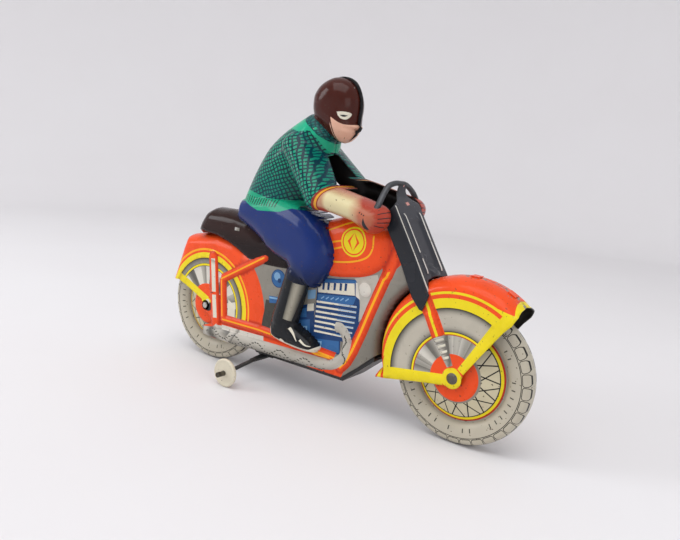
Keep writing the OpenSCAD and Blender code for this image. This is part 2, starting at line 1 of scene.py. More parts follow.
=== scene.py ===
"""Looks of a wind-up tin motorcycle with its rider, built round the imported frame."""

import json
import math

import bmesh
import bpy
import numpy as np
from mathutils import Matrix, Vector, geometry


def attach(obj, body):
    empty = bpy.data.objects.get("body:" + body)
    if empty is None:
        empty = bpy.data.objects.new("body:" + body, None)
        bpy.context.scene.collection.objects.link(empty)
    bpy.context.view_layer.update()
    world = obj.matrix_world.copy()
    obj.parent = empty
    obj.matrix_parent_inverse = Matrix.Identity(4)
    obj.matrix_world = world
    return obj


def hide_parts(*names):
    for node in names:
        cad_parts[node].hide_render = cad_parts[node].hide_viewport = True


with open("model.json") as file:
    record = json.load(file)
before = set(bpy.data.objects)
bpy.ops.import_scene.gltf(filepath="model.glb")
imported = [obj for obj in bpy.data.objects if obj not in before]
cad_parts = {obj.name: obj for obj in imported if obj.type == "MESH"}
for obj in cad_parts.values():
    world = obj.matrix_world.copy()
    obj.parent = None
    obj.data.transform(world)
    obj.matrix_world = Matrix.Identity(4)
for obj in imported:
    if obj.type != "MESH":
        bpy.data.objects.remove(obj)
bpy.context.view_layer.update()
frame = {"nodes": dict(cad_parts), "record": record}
MM = 0.001


# ---- Camera, floor and light ----
# The toy stands on a pale paper sweep that curves up all round it. A wide soft light
# hangs over it, with a softer one on either side of the camera.

azimuth, elevation, lean = (math.radians(a) for a in (34.579, 10.128, 5.271))
to_camera = Vector((math.sin(azimuth) * math.cos(elevation),
                    -math.cos(azimuth) * math.cos(elevation), math.sin(elevation)))
level = Vector((math.cos(azimuth), math.sin(azimuth), 0))
upright = to_camera.cross(level)
across = level * math.cos(lean) + upright * math.sin(lean)
above = upright * math.cos(lean) - level * math.sin(lean)
looked_at = Vector((4.84, 0, 59.54)) * MM
camera_data = bpy.data.cameras.new("camera")
camera_data.lens = 33.66
camera_data.sensor_width = 36
camera_data.clip_start = 0.01
camera = bpy.data.objects.new("camera", camera_data)
camera.matrix_world = (Matrix.Translation(looked_at + to_camera * 286.2 * MM)
                       @ Matrix((across, above, to_camera)).transposed().to_4x4())
bpy.context.collection.objects.link(camera)
bpy.context.scene.camera = camera
bpy.context.scene.view_settings.view_transform = "Standard"


def soft_light(name, place, width, height, power, tint=(1, 1, 1)):
    data = bpy.data.lights.new(name, "AREA")
    data.shape, data.size, data.size_y = "RECTANGLE", width, height
    data.energy, data.color = power, tint
    light = bpy.data.objects.new(name, data)
    light.location = place
    light.rotation_euler = (looked_at - Vector(place)).to_track_quat("-Z", "Y").to_euler()
    bpy.context.collection.objects.link(light)


soft_light("ceiling_light", (0.1, -0.25, 0.95), 0.9, 0.7, 4.3)
soft_light("window_light", (-0.75, -0.55, 0.5), 0.35, 0.6, 3.0, (0.97, 0.985, 1))
soft_light("fill_light", (0.85, -0.35, 0.35), 0.5, 0.5, 0.9)

world = bpy.data.worlds.new("studio")
world.use_nodes = True
world.node_tree.nodes["Background"].inputs["Color"].default_value = (0.80, 0.79, 0.80, 1)
world.node_tree.nodes["Background"].inputs["Strength"].default_value = 0.73
bpy.context.scene.world = world


def linear(code, alpha=1.0):
    """Linear colour from a six-figure screen colour."""
    parts = [int(code[i:i + 2], 16) / 255 for i in (0, 2, 4)]
    return tuple(c / 12.92 if c <= 0.04045 else ((c + 0.055) / 1.055) ** 2.4
                 for c in parts) + (alpha,)


def shader(name, values):
    """A material with a Principled shader; returns it, its tree and the shader node."""
    material = bpy.data.materials.new(name)
    material.use_nodes = True
    bsdf = material.node_tree.nodes["Principled BSDF"]
    for key, value in values.items():
        bsdf.inputs[key].default_value = value
    return material, material.node_tree, bsdf


def node(tree, kind, inputs=(), **settings):
    """Adds a node; each input is a number, a colour or another node's output."""
    made = tree.nodes.new(kind)
    for key, value in settings.items():
        setattr(made, key, value)
    for key, value in dict(inputs).items():
        if isinstance(value, bpy.types.NodeSocket):
            tree.links.new(value, made.inputs[key])
        else:
            made.inputs[key].default_value = value
    return made


def mix(tree, factor, a, b, blend="MIX"):
    """Mixes two colours by a factor and returns the result."""
    made = node(tree, "ShaderNodeMix", {0: factor, 6: a, 7: b}, data_type="RGBA",
                blend_type=blend, clamp_factor=True)
    return made.outputs[2]


def math_node(tree, operation, *values):
    return node(tree, "ShaderNodeMath", dict(enumerate(values)), operation=operation).outputs[0]


def add_object(name, mesh, *materials):
    made = bpy.data.objects.new(name, mesh)
    for material in materials:
        mesh.materials.append(material)
    bpy.context.collection.objects.link(made)
    return made


def sweep_mesh(radius=0.75, rise=0.8, rings=40, sectors=64):
    """A flat round floor whose edge curves up into a wall."""
    bm = bmesh.new()
    rows = []
    for i in range(rings + 1):
        t = i / rings
        r = radius * (0.02 + 1.6 * t)
        z = rise * max(0, (r - radius) / (0.62 * radius)) ** 2
        rows.append([bm.verts.new((r * math.cos(a), r * math.sin(a), z))
                     for a in (2 * math.pi * k / sectors for k in range(sectors))])
    for low, high in zip(rows, rows[1:]):
        for k in range(sectors):
            n = (k + 1) % sectors
            bm.faces.new((low[k], high[k], high[n], low[n]))
    bm.faces.new(rows[0])
    mesh = bpy.data.meshes.new("paper_sweep")
    bm.to_mesh(mesh)
    bm.free()
    mesh.shade_smooth()
    return mesh


paper, tree, bsdf = shader("paper_sweep", {"Roughness": 0.85, "Specular IOR Level": 0.2})
grain = node(tree, "ShaderNodeTexNoise", {"Scale": 9.0, "Detail": 3.0,
             "Vector": node(tree, "ShaderNodeTexCoord").outputs["Object"]})
tree.links.new(mix(tree, grain.outputs["Fac"], linear("E6E4E6"), linear("E9E8EA")),
               bsdf.inputs["Base Color"])
floor = add_object("paper_sweep", sweep_mesh(), paper)


# ---- Printed tin ----
# Every coloured sheet is tinplate printed flat and then pressed. One ink makes one
# material, and all of them share the same ageing: mottling, specks and rubbed edges.

def new_group(name, inputs, outputs):
    """An empty shader group with named sockets; returns it with its two end nodes."""
    group = bpy.data.node_groups.new(name, "ShaderNodeTree")
    for label, kind, value in inputs:
        socket = group.interface.new_socket(label, in_out="INPUT", socket_type=kind)
        if value is not None:
            socket.default_value = value
    for label, kind in outputs:
        group.interface.new_socket(label, in_out="OUTPUT", socket_type=kind)
    return group, group.nodes.new("NodeGroupInput").outputs, group.nodes.new("NodeGroupOutput")


def step_up(tree, value, low, high):
    """Smooth rise from 0 to 1 as a value goes from low to high."""
    return node(tree, "ShaderNodeMapRange", {"Value": value, "From Min": low, "From Max": high},
                interpolation_type="SMOOTHSTEP").outputs["Result"]


COLOUR, NUMBER, VECTOR = "NodeSocketColor", "NodeSocketFloat", "NodeSocketVector"
printed_tin, given, result = new_group(
    "printed_tin",
    [("Ink", COLOUR, None), ("Deep Ink", COLOUR, None), ("Shade", NUMBER, 0), ("Wear", NUMBER, 0),
     ("Age", NUMBER, 0.5), ("Gloss", NUMBER, 0.2)],
    [("Colour", COLOUR), ("Roughness", NUMBER), ("Metallic", NUMBER), ("Normal", VECTOR)])
place = node(printed_tin, "ShaderNodeTexCoord").outputs["Object"]


def noise(tree, vector, scale, detail=3.0, rough=0.5, **more):
    """Noise whose lumps are about 1/scale of a metre across."""
    inputs = {"Vector": vector, "Scale": scale, "Detail": detail, "Roughness": rough, **more}
    return node(tree, "ShaderNodeTexNoise", inputs).outputs["Fac"]


cloudy = noise(printed_tin, place, 110, 4)
fine_grain = noise(printed_tin, place, 1500, 2)
specks = step_up(printed_tin, noise(printed_tin, place, 900, 1.0, 0.4), 0.71, 0.76)
rub = math_node(printed_tin, "ADD", noise(printed_tin, place, 420, 6, 0.65),
                math_node(printed_tin, "MULTIPLY", given["Wear"], 0.34))
bare = step_up(printed_tin, rub, 0.80, 0.83)
# The shade attribute mixes each ink towards its deep ink: airbrushed print on some pieces, painted shade on others.
toned = mix(printed_tin, given["Shade"], given["Ink"], given["Deep Ink"])
lighter = math_node(printed_tin, "MULTIPLY_ADD", cloudy, 0.24, 0.88)
clouded = node(printed_tin, "ShaderNodeVectorMath", {0: toned, 3: lighter}, operation="SCALE")
grimy = mix(printed_tin, math_node(printed_tin, "MULTIPLY", specks, given["Age"]),
            clouded.outputs[0], linear("4A3B30"))
colour = mix(printed_tin, bare, grimy, linear("9C9A94"))
node_height = math_node(printed_tin, "MULTIPLY_ADD", bare, -0.5,
                        math_node(printed_tin, "MULTIPLY_ADD", fine_grain, 0.05, cloudy))
relief = node(printed_tin, "ShaderNodeBump", {"Height": node_height, "Strength": 0.25,
              "Distance": 0.0004})
dull = math_node(printed_tin, "MULTIPLY_ADD", cloudy, 0.16,
                 math_node(printed_tin, "MULTIPLY_ADD", bare, 0.25, given["Gloss"]))
for label, value in (("Colour", colour), ("Roughness", dull), ("Metallic", bare),
                     ("Normal", relief.outputs["Normal"])):
    printed_tin.links.new(value, result.inputs[label])


def group_node(tree, group, values):
    """Places a shader group and returns its outputs."""
    made = tree.nodes.new("ShaderNodeGroup")
    made.node_tree = group
    for key, value in values.items():
        if isinstance(value, bpy.types.NodeSocket):
            tree.links.new(value, made.inputs[key])
        else:
            made.inputs[key].default_value = value
    return made.outputs


def connect(tree, made, bsdf):
    for label, socket in (("Colour", "Base Color"), ("Roughness", "Roughness"),
                          ("Metallic", "Metallic"), ("Normal", "Normal")):
        if label in made:
            tree.links.new(made[label], bsdf.inputs[socket])


def ink(name, colour, deep=None, age=0.5, gloss=0.2):
    """A printed ink: its colour, and the deeper colour its shade attribute mixes towards, for airbrushed print and
    for painted shade.
    """
    material, tree, bsdf = shader(name, {"Coat Weight": 0.16, "Coat Roughness": 0.05,
                                         "Specular IOR Level": 0.12})
    given = {"Ink": linear(colour), "Deep Ink": linear(deep or colour), "Age": age, "Gloss": gloss}
    for label in ("Shade", "Wear"):
        given[label] = node(tree, "ShaderNodeAttribute", attribute_name=label.lower()).outputs["Fac"]
    made = group_node(tree, printed_tin, given)
    connect(tree, made, bsdf)
    return material


inks = {
    "orange": ink("orange_ink", "EC4F20", "B8280F"),
    "amber": ink("amber_line", "F7AC22"),
    "yellow": ink("yellow_ink", "E9D420", "C9A81A"),
    "grey": ink("grey_ink", "8E8A80", "5B584F"),
    "silver": ink("silver_ink", "B7B3A8", "5D5B55"),
    "pale": ink("pale_silver_ink", "D5D1C6", "8E8B82"),
    "cream": ink("cream_ink", "DDD8C6", "A49F8F"),
    "dark": ink("dark_ink", "2A2B2D"),
    "rust": ink("red_line", "B4301C"),
    "blue": ink("blue_ink", "35659A", "1C3557"),
    "navy": ink("navy_ink", "1F3F6E", "131F35"),
    "sky": ink("light_blue_ink", "7FA9CC", "35659A"),
    "coal": ink("dark_panel_ink", "45453F", "2B2C2B"),
}
black_back, tree, bsdf = shader("black_inside", {"Base Color": linear("141414")})
worn = noise(tree, node(tree, "ShaderNodeTexCoord").outputs["Object"], 300, 5)
tree.links.new(mix(tree, worn, linear("0C0C0D"), linear("2A2825")), bsdf.inputs["Base Color"])
tree.links.new(math_node(tree, "MULTIPLY_ADD", worn, 0.4, 0.2), bsdf.inputs["Roughness"])


def spaced(loop, gap, closed=True):
    """Adds points so that no side of a loop is longer than the gap."""
    ends = loop[1:] + loop[:1] if closed else loop[1:]
    out = []
    for a, b in zip(loop, ends):
        n = max(1, math.ceil(math.dist(a, b) / gap))
        out += [(a[0] + (b[0] - a[0]) * i / n, a[1] + (b[1] - a[1]) * i / n) for i in range(n)]
    return out if closed else out + [tuple(loop[-1])]


def away(points, path, closed=False):
    """Distance of each point from a path."""
    best = np.full(len(points), 1e9)
    for a, b in zip(path, path[1:] + path[:1] if closed else path[1:]):
        a, b = np.array(a, float), np.array(b, float)
        t = np.clip((points - a) @ (b - a) / max((b - a) @ (b - a), 1e-9), 0, 1)
        best = np.minimum(best, np.linalg.norm(points - a - t[:, None] * (b - a), axis=1))
    return best


def within(points, loop):
    """Which points lie inside a loop."""
    x, z = points[:, 0], points[:, 1]
    odd = np.zeros(len(points), bool)
    for (ax, az), (bx, bz) in zip(loop, loop[1:] + loop[:1]):
        if az != bz:
            odd ^= ((az > z) != (bz > z)) & (x < (bx - ax) * (z - az) / (bz - az) + ax)
    return odd


def depth_in(points, loop):
    """Distance inside a loop, and 0 outside it."""
    return away(points, loop, True) * within(points, loop)


def roll(distance, radius):
    """Quarter round from 0 at an edge to 1 at the radius."""
    return np.sqrt(np.clip(1 - (1 - np.clip(distance / radius, 0, 1)) ** 2, 0, 1))


def half_round(distance, half):
    return np.sqrt(np.clip(1 - (distance / half) ** 2, 0, 1))


def disc(centre, radius, start=0, end=360):
    """Round outline, or part of one."""
    n = max(6, int(abs(end - start) / 4.5))
    turn = [math.radians(start + (end - start) * i / n) for i in range(n + (abs(end - start) < 360))]
    return [(centre[0] + radius * math.cos(a), centre[1] + radius * math.sin(a)) for a in turn]


def wedge(centre, inner, outer, start, end):
    return disc(centre, outer, start, end) + disc(centre, inner, end, start)


def band(path, width, end_width=None):
    """Outline of a line of some width along a path, narrowing to its end width."""
    path = [Vector(p) for p in path]
    sides = [[], []]
    for i, p in enumerate(path):
        before, after = path[max(i - 1, 0)], path[min(i + 1, len(path) - 1)]
        way = (after - before).normalized()
        w = width + ((end_width or width) - width) * i / (len(path) - 1)
        for side, sign in zip(sides, (1, -1)):
            side.append(tuple(p + Vector((-way.y, way.x)) * sign * w / 2))
    return sides[0] + sides[1][::-1]


def curve(path, steps=5):
    """A smooth path through the given points."""
    pts = [Vector(p) for p in path]
    pts = [2 * pts[0] - pts[1]] + pts + [2 * pts[-1] - pts[-2]]
    out = []
    for p0, p1, p2, p3 in zip(pts, pts[1:], pts[2:], pts[3:]):
        for i in range(steps):
            t = i / steps
            out.append(tuple(0.5 * (2 * p1 + (p2 - p0) * t + (2 * p0 - 5 * p1 + 4 * p2 - p3) * t * t
                                    + (3 * p1 - p0 - 3 * p2 + p3) * t ** 3)))
    return out + [tuple(pts[-2])]


EDGE_ROWS = (0.06, 0.22, 0.5, 1.0, 1.7, 2.6, 3.7, 5.0, 6.4)


def cut_sheet(outlines, prints, gap, *rolled_edges):
    """Cuts a flat sheet into triangles along every outline and printed edge. Points are
    added close together along rolled edges. Returns points, triangles and inks."""
    verts, faces = [], []
    for loop in list(outlines) + [loop for _, loop in prints]:
        loop = spaced(loop, gap)
        turning = sum(a[0] * b[1] - b[0] * a[1] for a, b in zip(loop, loop[1:] + loop[:1]))
        loop = loop if turning > 0 else loop[::-1]
        faces.append(list(range(len(verts), len(verts) + len(loop))))
        verts += loop
    edge_points = np.array([p for loop in outlines for p in loop], float)
    low, high = edge_points.min(0), edge_points.max(0)
    grid = np.array([(x, z) for x in np.arange(low[0], high[0], gap)
                     for z in np.arange(low[1], high[1], gap)])
    if rolled_edges:
        def to_edges(points):
            return np.min([away(points, list(path)) for path in rolled_edges], axis=0)

        grid = grid[to_edges(grid) > 1.2 * gap] if len(rolled_edges) > 1 else grid[to_edges(grid) > 7.2]
        offsets, rows = [], []
        steps = EDGE_ROWS[:6] if len(rolled_edges) > 1 else EDGE_ROWS
        for path in rolled_edges:
            path = spaced(list(path), gap, closed=False)
            for a, b in zip(path, path[1:]):
                way = np.array((b[0] - a[0], b[1] - a[1])) / max(math.dist(a, b), 1e-9)
                for out in steps:
                    rows += [np.array(a) + out * np.array((s * way[1], -s * way[0])) for s in (1, -1)]
                    offsets += [out, out]
        rows = np.array(rows)
        grid = np.vstack([grid, rows[to_edges(rows) > np.array(offsets) * 0.98]])
    keep = np.zeros(len(grid), bool)
    for loop in outlines:
        keep |= within(grid, loop)
    verts += [tuple(p) for p in grid[keep]]
    flat = [Vector(v) for v in verts]
    points, _, triangles, _, _, source = geometry.delaunay_2d_cdt(flat, [], faces, 1, 1e-4, True)
    first_print = len(outlines)
    kept, colours = [], []
    for triangle, origin in zip(triangles, source):
        if min(origin, default=first_print) < first_print:
            printed = [i - first_print for i in origin if i >= first_print]
            kept.append(triangle)
            colours.append(prints[max(printed)][0] if printed else prints[0][0])
    used = sorted({i for t in kept for i in t})
    renumber = {old: new for new, old in enumerate(used)}
    return (np.array([points[i][:] for i in used]),
            [[renumber[i] for i in t] for t in kept], colours)


def pressed(name, sheet, height, palette, back, thickness=0.4, shade=None, wear=None,
            mirrored=False, lay=None):
    """Lifts a cut sheet to its height, gives it its inks and its thickness. The height is
    measured from the seam plane towards the right side, or the left if mirrored."""
    points, triangles, colours = sheet
    rise = height(points)
    if lay:
        placed = lay(points, rise)
    else:
        placed = np.column_stack([points[:, 0], rise * (1 if mirrored else -1), points[:, 1]])
    if mirrored:
        triangles = [t[::-1] for t in triangles]
    mesh = bpy.data.meshes.new(name)
    mesh.from_pydata([tuple(p * MM) for p in placed], [], triangles)
    names = list(dict.fromkeys(colours))
    mesh.polygons.foreach_set("material_index", [names.index(c) for c in colours])
    owners = np.repeat(np.array(names)[[names.index(c) for c in colours]], 3)
    corners = np.array([i for t in triangles for i in t])
    for label, rule in (("shade", shade), ("wear", wear)):
        values = rule(points[corners], owners) if rule else np.zeros(len(corners))
        mesh.attributes.new(label, "FLOAT", "CORNER").data.foreach_set(
            "value", np.clip(values, 0, 1).astype(np.float32))
    mesh.shade_smooth()
    piece = add_object(name, mesh, *[palette[n] for n in names], back)
    wall = piece.modifiers.new("wall", "SOLIDIFY")
    wall.thickness, wall.offset = thickness * MM, -1
    wall.material_offset = wall.material_offset_rim = len(names)
    return piece


# ---- Body sides ----
# Two tinplate halves, printed with the mudguard, tank, frame tubes, engine and exhaust,
# and joined along the seam by bent tabs. The halves are pressed over one die pair.

AXLE_Z = 29.0
REAR_X, FRONT_X = -69.45, 69.45
hub = (-68.3, 29.1)                     # centre of the printed rear wheel
top_seam = [(-98.3, 38), (-94.6, 48), (-91.3, 57), (-88.7, 62.8), (-80.5, 64.4), (-66, 66.3),
            (-53, 64.8), (-45, 62), (-28, 66), (-10, 74), (0, 82), (12, 86), (28, 85.6), (33, 85)]
front_edge = disc((68.75, 33.5), 35.3, 124, 188)
body_outline = ([(-98.3, 38), (-90.3, 38.6), (-80.5, 34.7), (-72.4, 31.6), (-72.6, 29),
                 (-71.2, 26.3), (-68.2, 25.4), (-65.8, 24), (-64.6, 20.6), (-71.3, 17.8),
                 (-70.2, 13.6), (-55, 13.2), (-41.5, 13.6), (-36.5, 14.5), (17, 14.5),
                 (25, 21), (33.4, 28.6)] + front_edge[::-1] + [(42.8, 70), (36.6, 80)]
                + top_seam[::-1][:-1])
tank = ([(-12, 62), (-4, 60), (4.8, 58.3), (11.7, 58.6), (17.6, 59.6), (24, 60.9), (29.4, 63.4),
         (33.2, 66.8), (35.1, 70.7), (35.3, 74.8), (34, 80), (31, 85), (28, 88), (0, 88),
         (-12, 80)])
tank = curve(tank[:11], 3) + tank[11:]
shock = [(-65.3, 54.6), (-61.2, 21.6)]
tubes = [[(-58.2, 45), (-31.3, 60)], [(-58.2, 45), (-56, 24.6)],
         [(-56, 24.6), (-32.3, 24.9), (3, 23.3), (13.5, 22.6)]]
down_tube = [(16.5, 19), (19.5, 22.5), (22.1, 27.8), (25.8, 37.6), (29, 47.1), (34.3, 61.6),
             (38.4, 73), (40.5, 79)]
header = curve([(12.5, 36.4), (14.6, 36.6), (16.5, 35.6), (18.5, 32.8), (18.7, 28.3),
                (16.7, 22.8), (11.4, 18.8), (4.5, 17.9)])
muffler = [(-71.1, 17.7), (-64, 18.9), (-57.4, 19.6), (-28, 19.9), (5.7, 20.6), (9, 21),
           (12, 18.2), (9, 15.8), (6.3, 15.2), (-23.9, 13.4), (-37.2, 12.9), (-67.7, 13.6)]
engine = [(-10.1, 41.2), (-0.4, 44.4), (0.4, 56.4), (20.9, 59.1), (22.6, 51.4), (24.3, 43),
          (23.3, 37), (21, 32), (16.6, 30.6), (15.4, 24.6), (-7.6, 24.4), (-10.4, 31)]
fins = [((0.9, 45.6 - 2.25 * i), (22.3 - 0.35 * max(0, i - 2), 47.5 - 2.35 * i))
        for i in range(7)]


def body_height(points):
    radius = np.linalg.norm(points - np.array(hub), axis=1)
    rise = 9.2 + 0.7 * np.clip((39.6 - radius) / 1.6, 0, 1)
    rise = rise - 0.35 * np.clip((20.2 - radius) / 1.2, 0, 1) * (radius > 11)
    rise += 3.0 * roll(depth_in(points, tank), 6)
    rise += 0.8 * roll(depth_in(points, engine), 1.6)
    for a, b in fins:
        rise += 0.35 * half_round(away(points, [a, b]), 0.95)
    for path in tubes:
        rise = np.maximum(rise, 9.7 + 1.2 * half_round(away(points, path), 2.1))
    rise = np.maximum(rise, 9.2 + 1.5 * half_round(away(points, down_tube), 2.5)
                      * (away(points, down_tube) < 2.6))
    rise = np.where(away(points, shock) < 3.3,
                    np.maximum(rise, 9.9 + 1.1 * half_round(away(points, shock), 3.3)), rise)
    pipe = np.maximum(roll(depth_in(points, muffler), 3.2),
                      half_round(away(points, header), 2.3) * (away(points, header) < 2.3))
    rise = np.maximum(rise, 9.2 + 2.0 * pipe)
    rise += 1.1 * half_round(np.linalg.norm(points - np.array((25.6, 56)), axis=1), 3.4)
    rise = np.where((points[:, 0] > 33) & (points[:, 1] > 62), np.minimum(rise, 9.2), rise)
    rise *= roll(away(points, front_edge) + 0.15, 2.2)
    round_top = 6 + 3 * np.clip((points[:, 0] + 5) / 10, 0, 1)
    return np.maximum(rise * roll(away(points, top_seam), round_top), 0.05)


def ring_print(name, centre, outer, inner=None, under=None):
    """A printed ring: a disc, then the ink under it inside the inner radius."""
    out = [(name, disc(centre, outer))]
    return out + [(under, disc(centre, inner))] if inner else out


def half_marks(count, place, size, seed, turn=0):
    """Short slanting strokes scattered in a row."""
    rng = np.random.default_rng(seed)
    out = []
    for i in range(count):
        x, z = place(i / max(count - 1, 1))
        a = turn + rng.uniform(-0.5, 0.5)
        d = Vector((math.cos(a), math.sin(a))) * size * rng.uniform(0.6, 1.1) / 2
        out.append(band([Vector((x, z)) - d, Vector((x, z)) + d], 0.5))
    return out


guard_field = disc(hub, 38.9, -60, 91) + [(-70, 72), (-101, 72), (-101, 30), hub]
spokes = [("pale", wedge(hub, 11.2, 20.1, a, a + w))
          for a, w in ((-50, 12), (-26, 16), (6, 10), (28, 14), (60, 16), (88, 9), (108, 16),
                       (140, 12), (165, 14))]
body_prints = [("grey", [(-110, 0), (60, 0), (60, 95), (-110, 95)]),
               ("orange", guard_field)]
body_prints += ring_print("amber", hub, 29.2, 28.2, "orange")
body_prints += [("yellow", disc(hub, 27.1)), ("dark", disc(hub, 24.3)), ("grey", disc(hub, 23.9)),
                ("dark", disc(hub, 21.6)), ("yellow", disc(hub, 21.4)), ("dark", disc(hub, 20.4)),
                ("silver", disc(hub, 20.15))] + spokes
body_prints += [("orange", disc(hub, 11.2)),
                # a painted highlight over the lower spokes of the printed wheel
                ("cream", [(-54, 27), (-49, 27), (-48.9, 32.5), (-53.8, 35)]),
                ("orange", [(-60, 30), (-60, 21), (4, 14), (17, 14), (20, 22), (-56, 27)])]
# engine bay
body_prints += [
    ("coal", [(-31, 24.8), (-23.4, 24.8), (-22.6, 40.2), (-29.3, 40.2)]),
    ("blue", [(-27.6, 42.4), (-19.2, 43), (-19, 40.3), (-27, 39)]),
    ("sky", [(-27.4, 42), (-19.4, 42.5), (-19.3, 41.7), (-27.2, 41.2)]),
    ("navy", disc((-22.6, 51.5), 4.3)), ("blue", disc((-22.6, 51.5), 3.9)),
    ("sky", disc((-23.4, 52.4), 1.9)), ("navy", disc((-21.9, 50.6), 1.1)),
    ("navy", [(-10.1, 41.2), (-0.4, 44.4), (1.5, 24.2), (-9.4, 24.6), (-10.4, 31)]),
    ("blue", [(-9.4, 39.8), (-4.6, 41.4), (-4.2, 37.2), (-9, 36)]),
    ("cream", [(-4.4, 43.2), (-0.8, 44.2), (-0.4, 41), (-4.2, 40)]),
    ("sky", [(-5, 49.6), (-0.4, 50.6), (-0.4, 46.6), (-4.6, 45.4)]),
    ("blue", [(-8.2, 35), (-2.2, 36.6), (-1.2, 27), (-7.8, 27.4)]),
    ("sky", band(curve([(-8.4, 33), (-7.6, 30.2), (-5.6, 28)]), 0.7)),
    ("navy", [(0.2, 56.2), (20.9, 59.1), (22.9, 50.6), (24.4, 43), (23.3, 37), (21, 31),
              (15.4, 30.6), (15.4, 24.4), (0.6, 24.2)]),
    ("blue", [(0.8, 55.9), (20.4, 58.7), (20.6, 57.4), (1, 54.3)]),
    ("cream", [(0.3, 53.9), (19.8, 57.3), (20.6, 52.1), (1.1, 49.8)]),
    ("pale", [(20.4, 57.8), (24.4, 58), (26.6, 52.4), (23.2, 50.6), (21, 52)])]
body_prints += [("navy", [(x, 50.9 + 0.15 * x), (x + 1.15, 51 + 0.15 * x),
                          (x + 1.25, 54.1 + 0.16 * x), (x - 0.1, 54 + 0.16 * x)])
                for x in (3.2, 5.9, 9.2, 12.4, 15)]
body_prints += [("blue", [(0.8, 48.9), (21.4, 51.6), (20.2, 47.9), (1.2, 45.6)])]
body_prints += [("sky", band([(3 + 2.6 * i, 47.3 + 0.3 * i), (4.6 + 2.6 * i, 48.5 + 0.33 * i)], 0.5))
                for i in range(6)]
body_prints += [("cream", band([a, b], 0.95, 0.7)) for a, b in fins]
body_prints += [("sky", band([(a[0] + 12, a[1] + 0.5 + 0.55 * 1.1), b], 0.35)) for a, b in fins]
body_prints += [
    ("blue", [(1.3, 28.5), (14.6, 30.4), (15.2, 25), (2.7, 23.8)]),
    ("sky", [(2.8, 27.8), (5.4, 28.2), (5.2, 25), (3, 24.9)]), ("navy", disc((4, 26.6), 0.8)),
    ("sky", [(-6.2, 32.6), (-3.4, 33.2), (-3.2, 30.4), (-6, 30)]), ("navy", disc((-4.7, 31.6), 0.8)),
    ("silver", [(19.4, 59.4), (30.5, 63), (33, 58), (27, 46), (23.6, 41), (23.4, 50), (21, 58)]),
    # a painted highlight: a pale spot on the pressed boss beside the engine
    ("pale", disc((25.4, 55.6), 3.1))]
# frame tubes, exhaust, tank and stays
body_prints += [("orange", band(path, 4.6)) for path in tubes]
body_prints += [("orange", disc((-31.3, 60), 2.3))]
body_prints += [("amber", band(path, 0.75)) for path in (
    [(-31.3, 60), (-58.2, 45), (-56.4, 26)], [(-56.4, 24.6), (-32.3, 24.9), (3, 23.3), (13.5, 22.6)])]
body_prints += [("orange", band(down_tube, 5.2)), ("amber", band(down_tube, 1.1)),
                ("orange", tank),
                ("orange", [(33, 64), (38, 66), (44, 72), (36, 88), (28, 88), (30, 78)])]
body_prints += [("amber", band(path, 0.75)) for path in (
    curve([(-8, 72.2), (1.2, 76.4), (8, 79.6), (15.9, 83.1)]), [(-6, 70.3), (3, 72.3), (12.6, 74.7)],
    [(-4, 67.4), (4.1, 69.1), (13.3, 72.1)],
    curve([(-3, 65.2), (5.6, 64.9), (14.9, 65.9), (22.1, 67.7), (26.7, 70.3), (28.5, 74.4),
           (28.2, 79.1)]))]
badge = (18.8, 75.1)
body_prints += [("yellow", disc(badge, 6.3)), ("orange", disc(badge, 5.6)), ("yellow", disc(badge, 5))]
body_prints += [("orange", [(badge[0] + s * w, badge[1]), (badge[0], badge[1] + s2 * h),
                            (badge[0] + s * (w - 1.3), badge[1])])
                for s in (1, -1) for s2 in (1, -1) for w, h in ((3, 4),)]
tin_grey = [("silver", muffler), ("silver", band(header, 4.6))]
body_prints += tin_grey
# painted highlights: a pale strip along the top of the exhaust and an amber patch on the lower frame tube
body_prints += [("pale", [(-57.4, 21.3), (-29.3, 22), (-29.1, 19.8), (-57, 19.2)]),
                ("amber", [(-1, 22.2), (10, 22.8), (12, 21.6), (2, 20.9)])]
marks = half_marks(48, lambda t: (-66 + 74 * t, 16.7 + 1.6 * math.sin(31 * t)), 1.5, 4)
marks += half_marks(20, lambda t: (18.2 + 0.9 * math.sin(9 * t), 33.5 - 12 * t), 1.2, 5, 1.2)
marks += half_marks(34, lambda t: (-64 + 74 * t, 15 + 0.9 * math.sin(23 * t)), 1.0, 6)
body_prints += [("coal", m) for m in marks]
body_prints += [("orange", band(shock, 6.2)), ("orange", disc(shock[0], 3.1)),
                ("cream", band([(-64.9, 54), (-63, 37.4)], 2.6)),
                ("cream", band([(-62.8, 35.9), (-61.3, 24.3)], 2.6)),
                ("dark", band([(-65.6, 36.6), (-63.4, 36.8)], 0.35)),
                ("yellow", [(-90.6, 43), (-91, 38.5), (-69.6, 29.6), (-67.4, 33.6)]),
                ("yellow", disc((-68.1, 30.6), 2.5)), ("dark", disc((-67.7, 28.9), 2.6)),
                ("pale", disc((-68.1, 31.1), 1.3))]


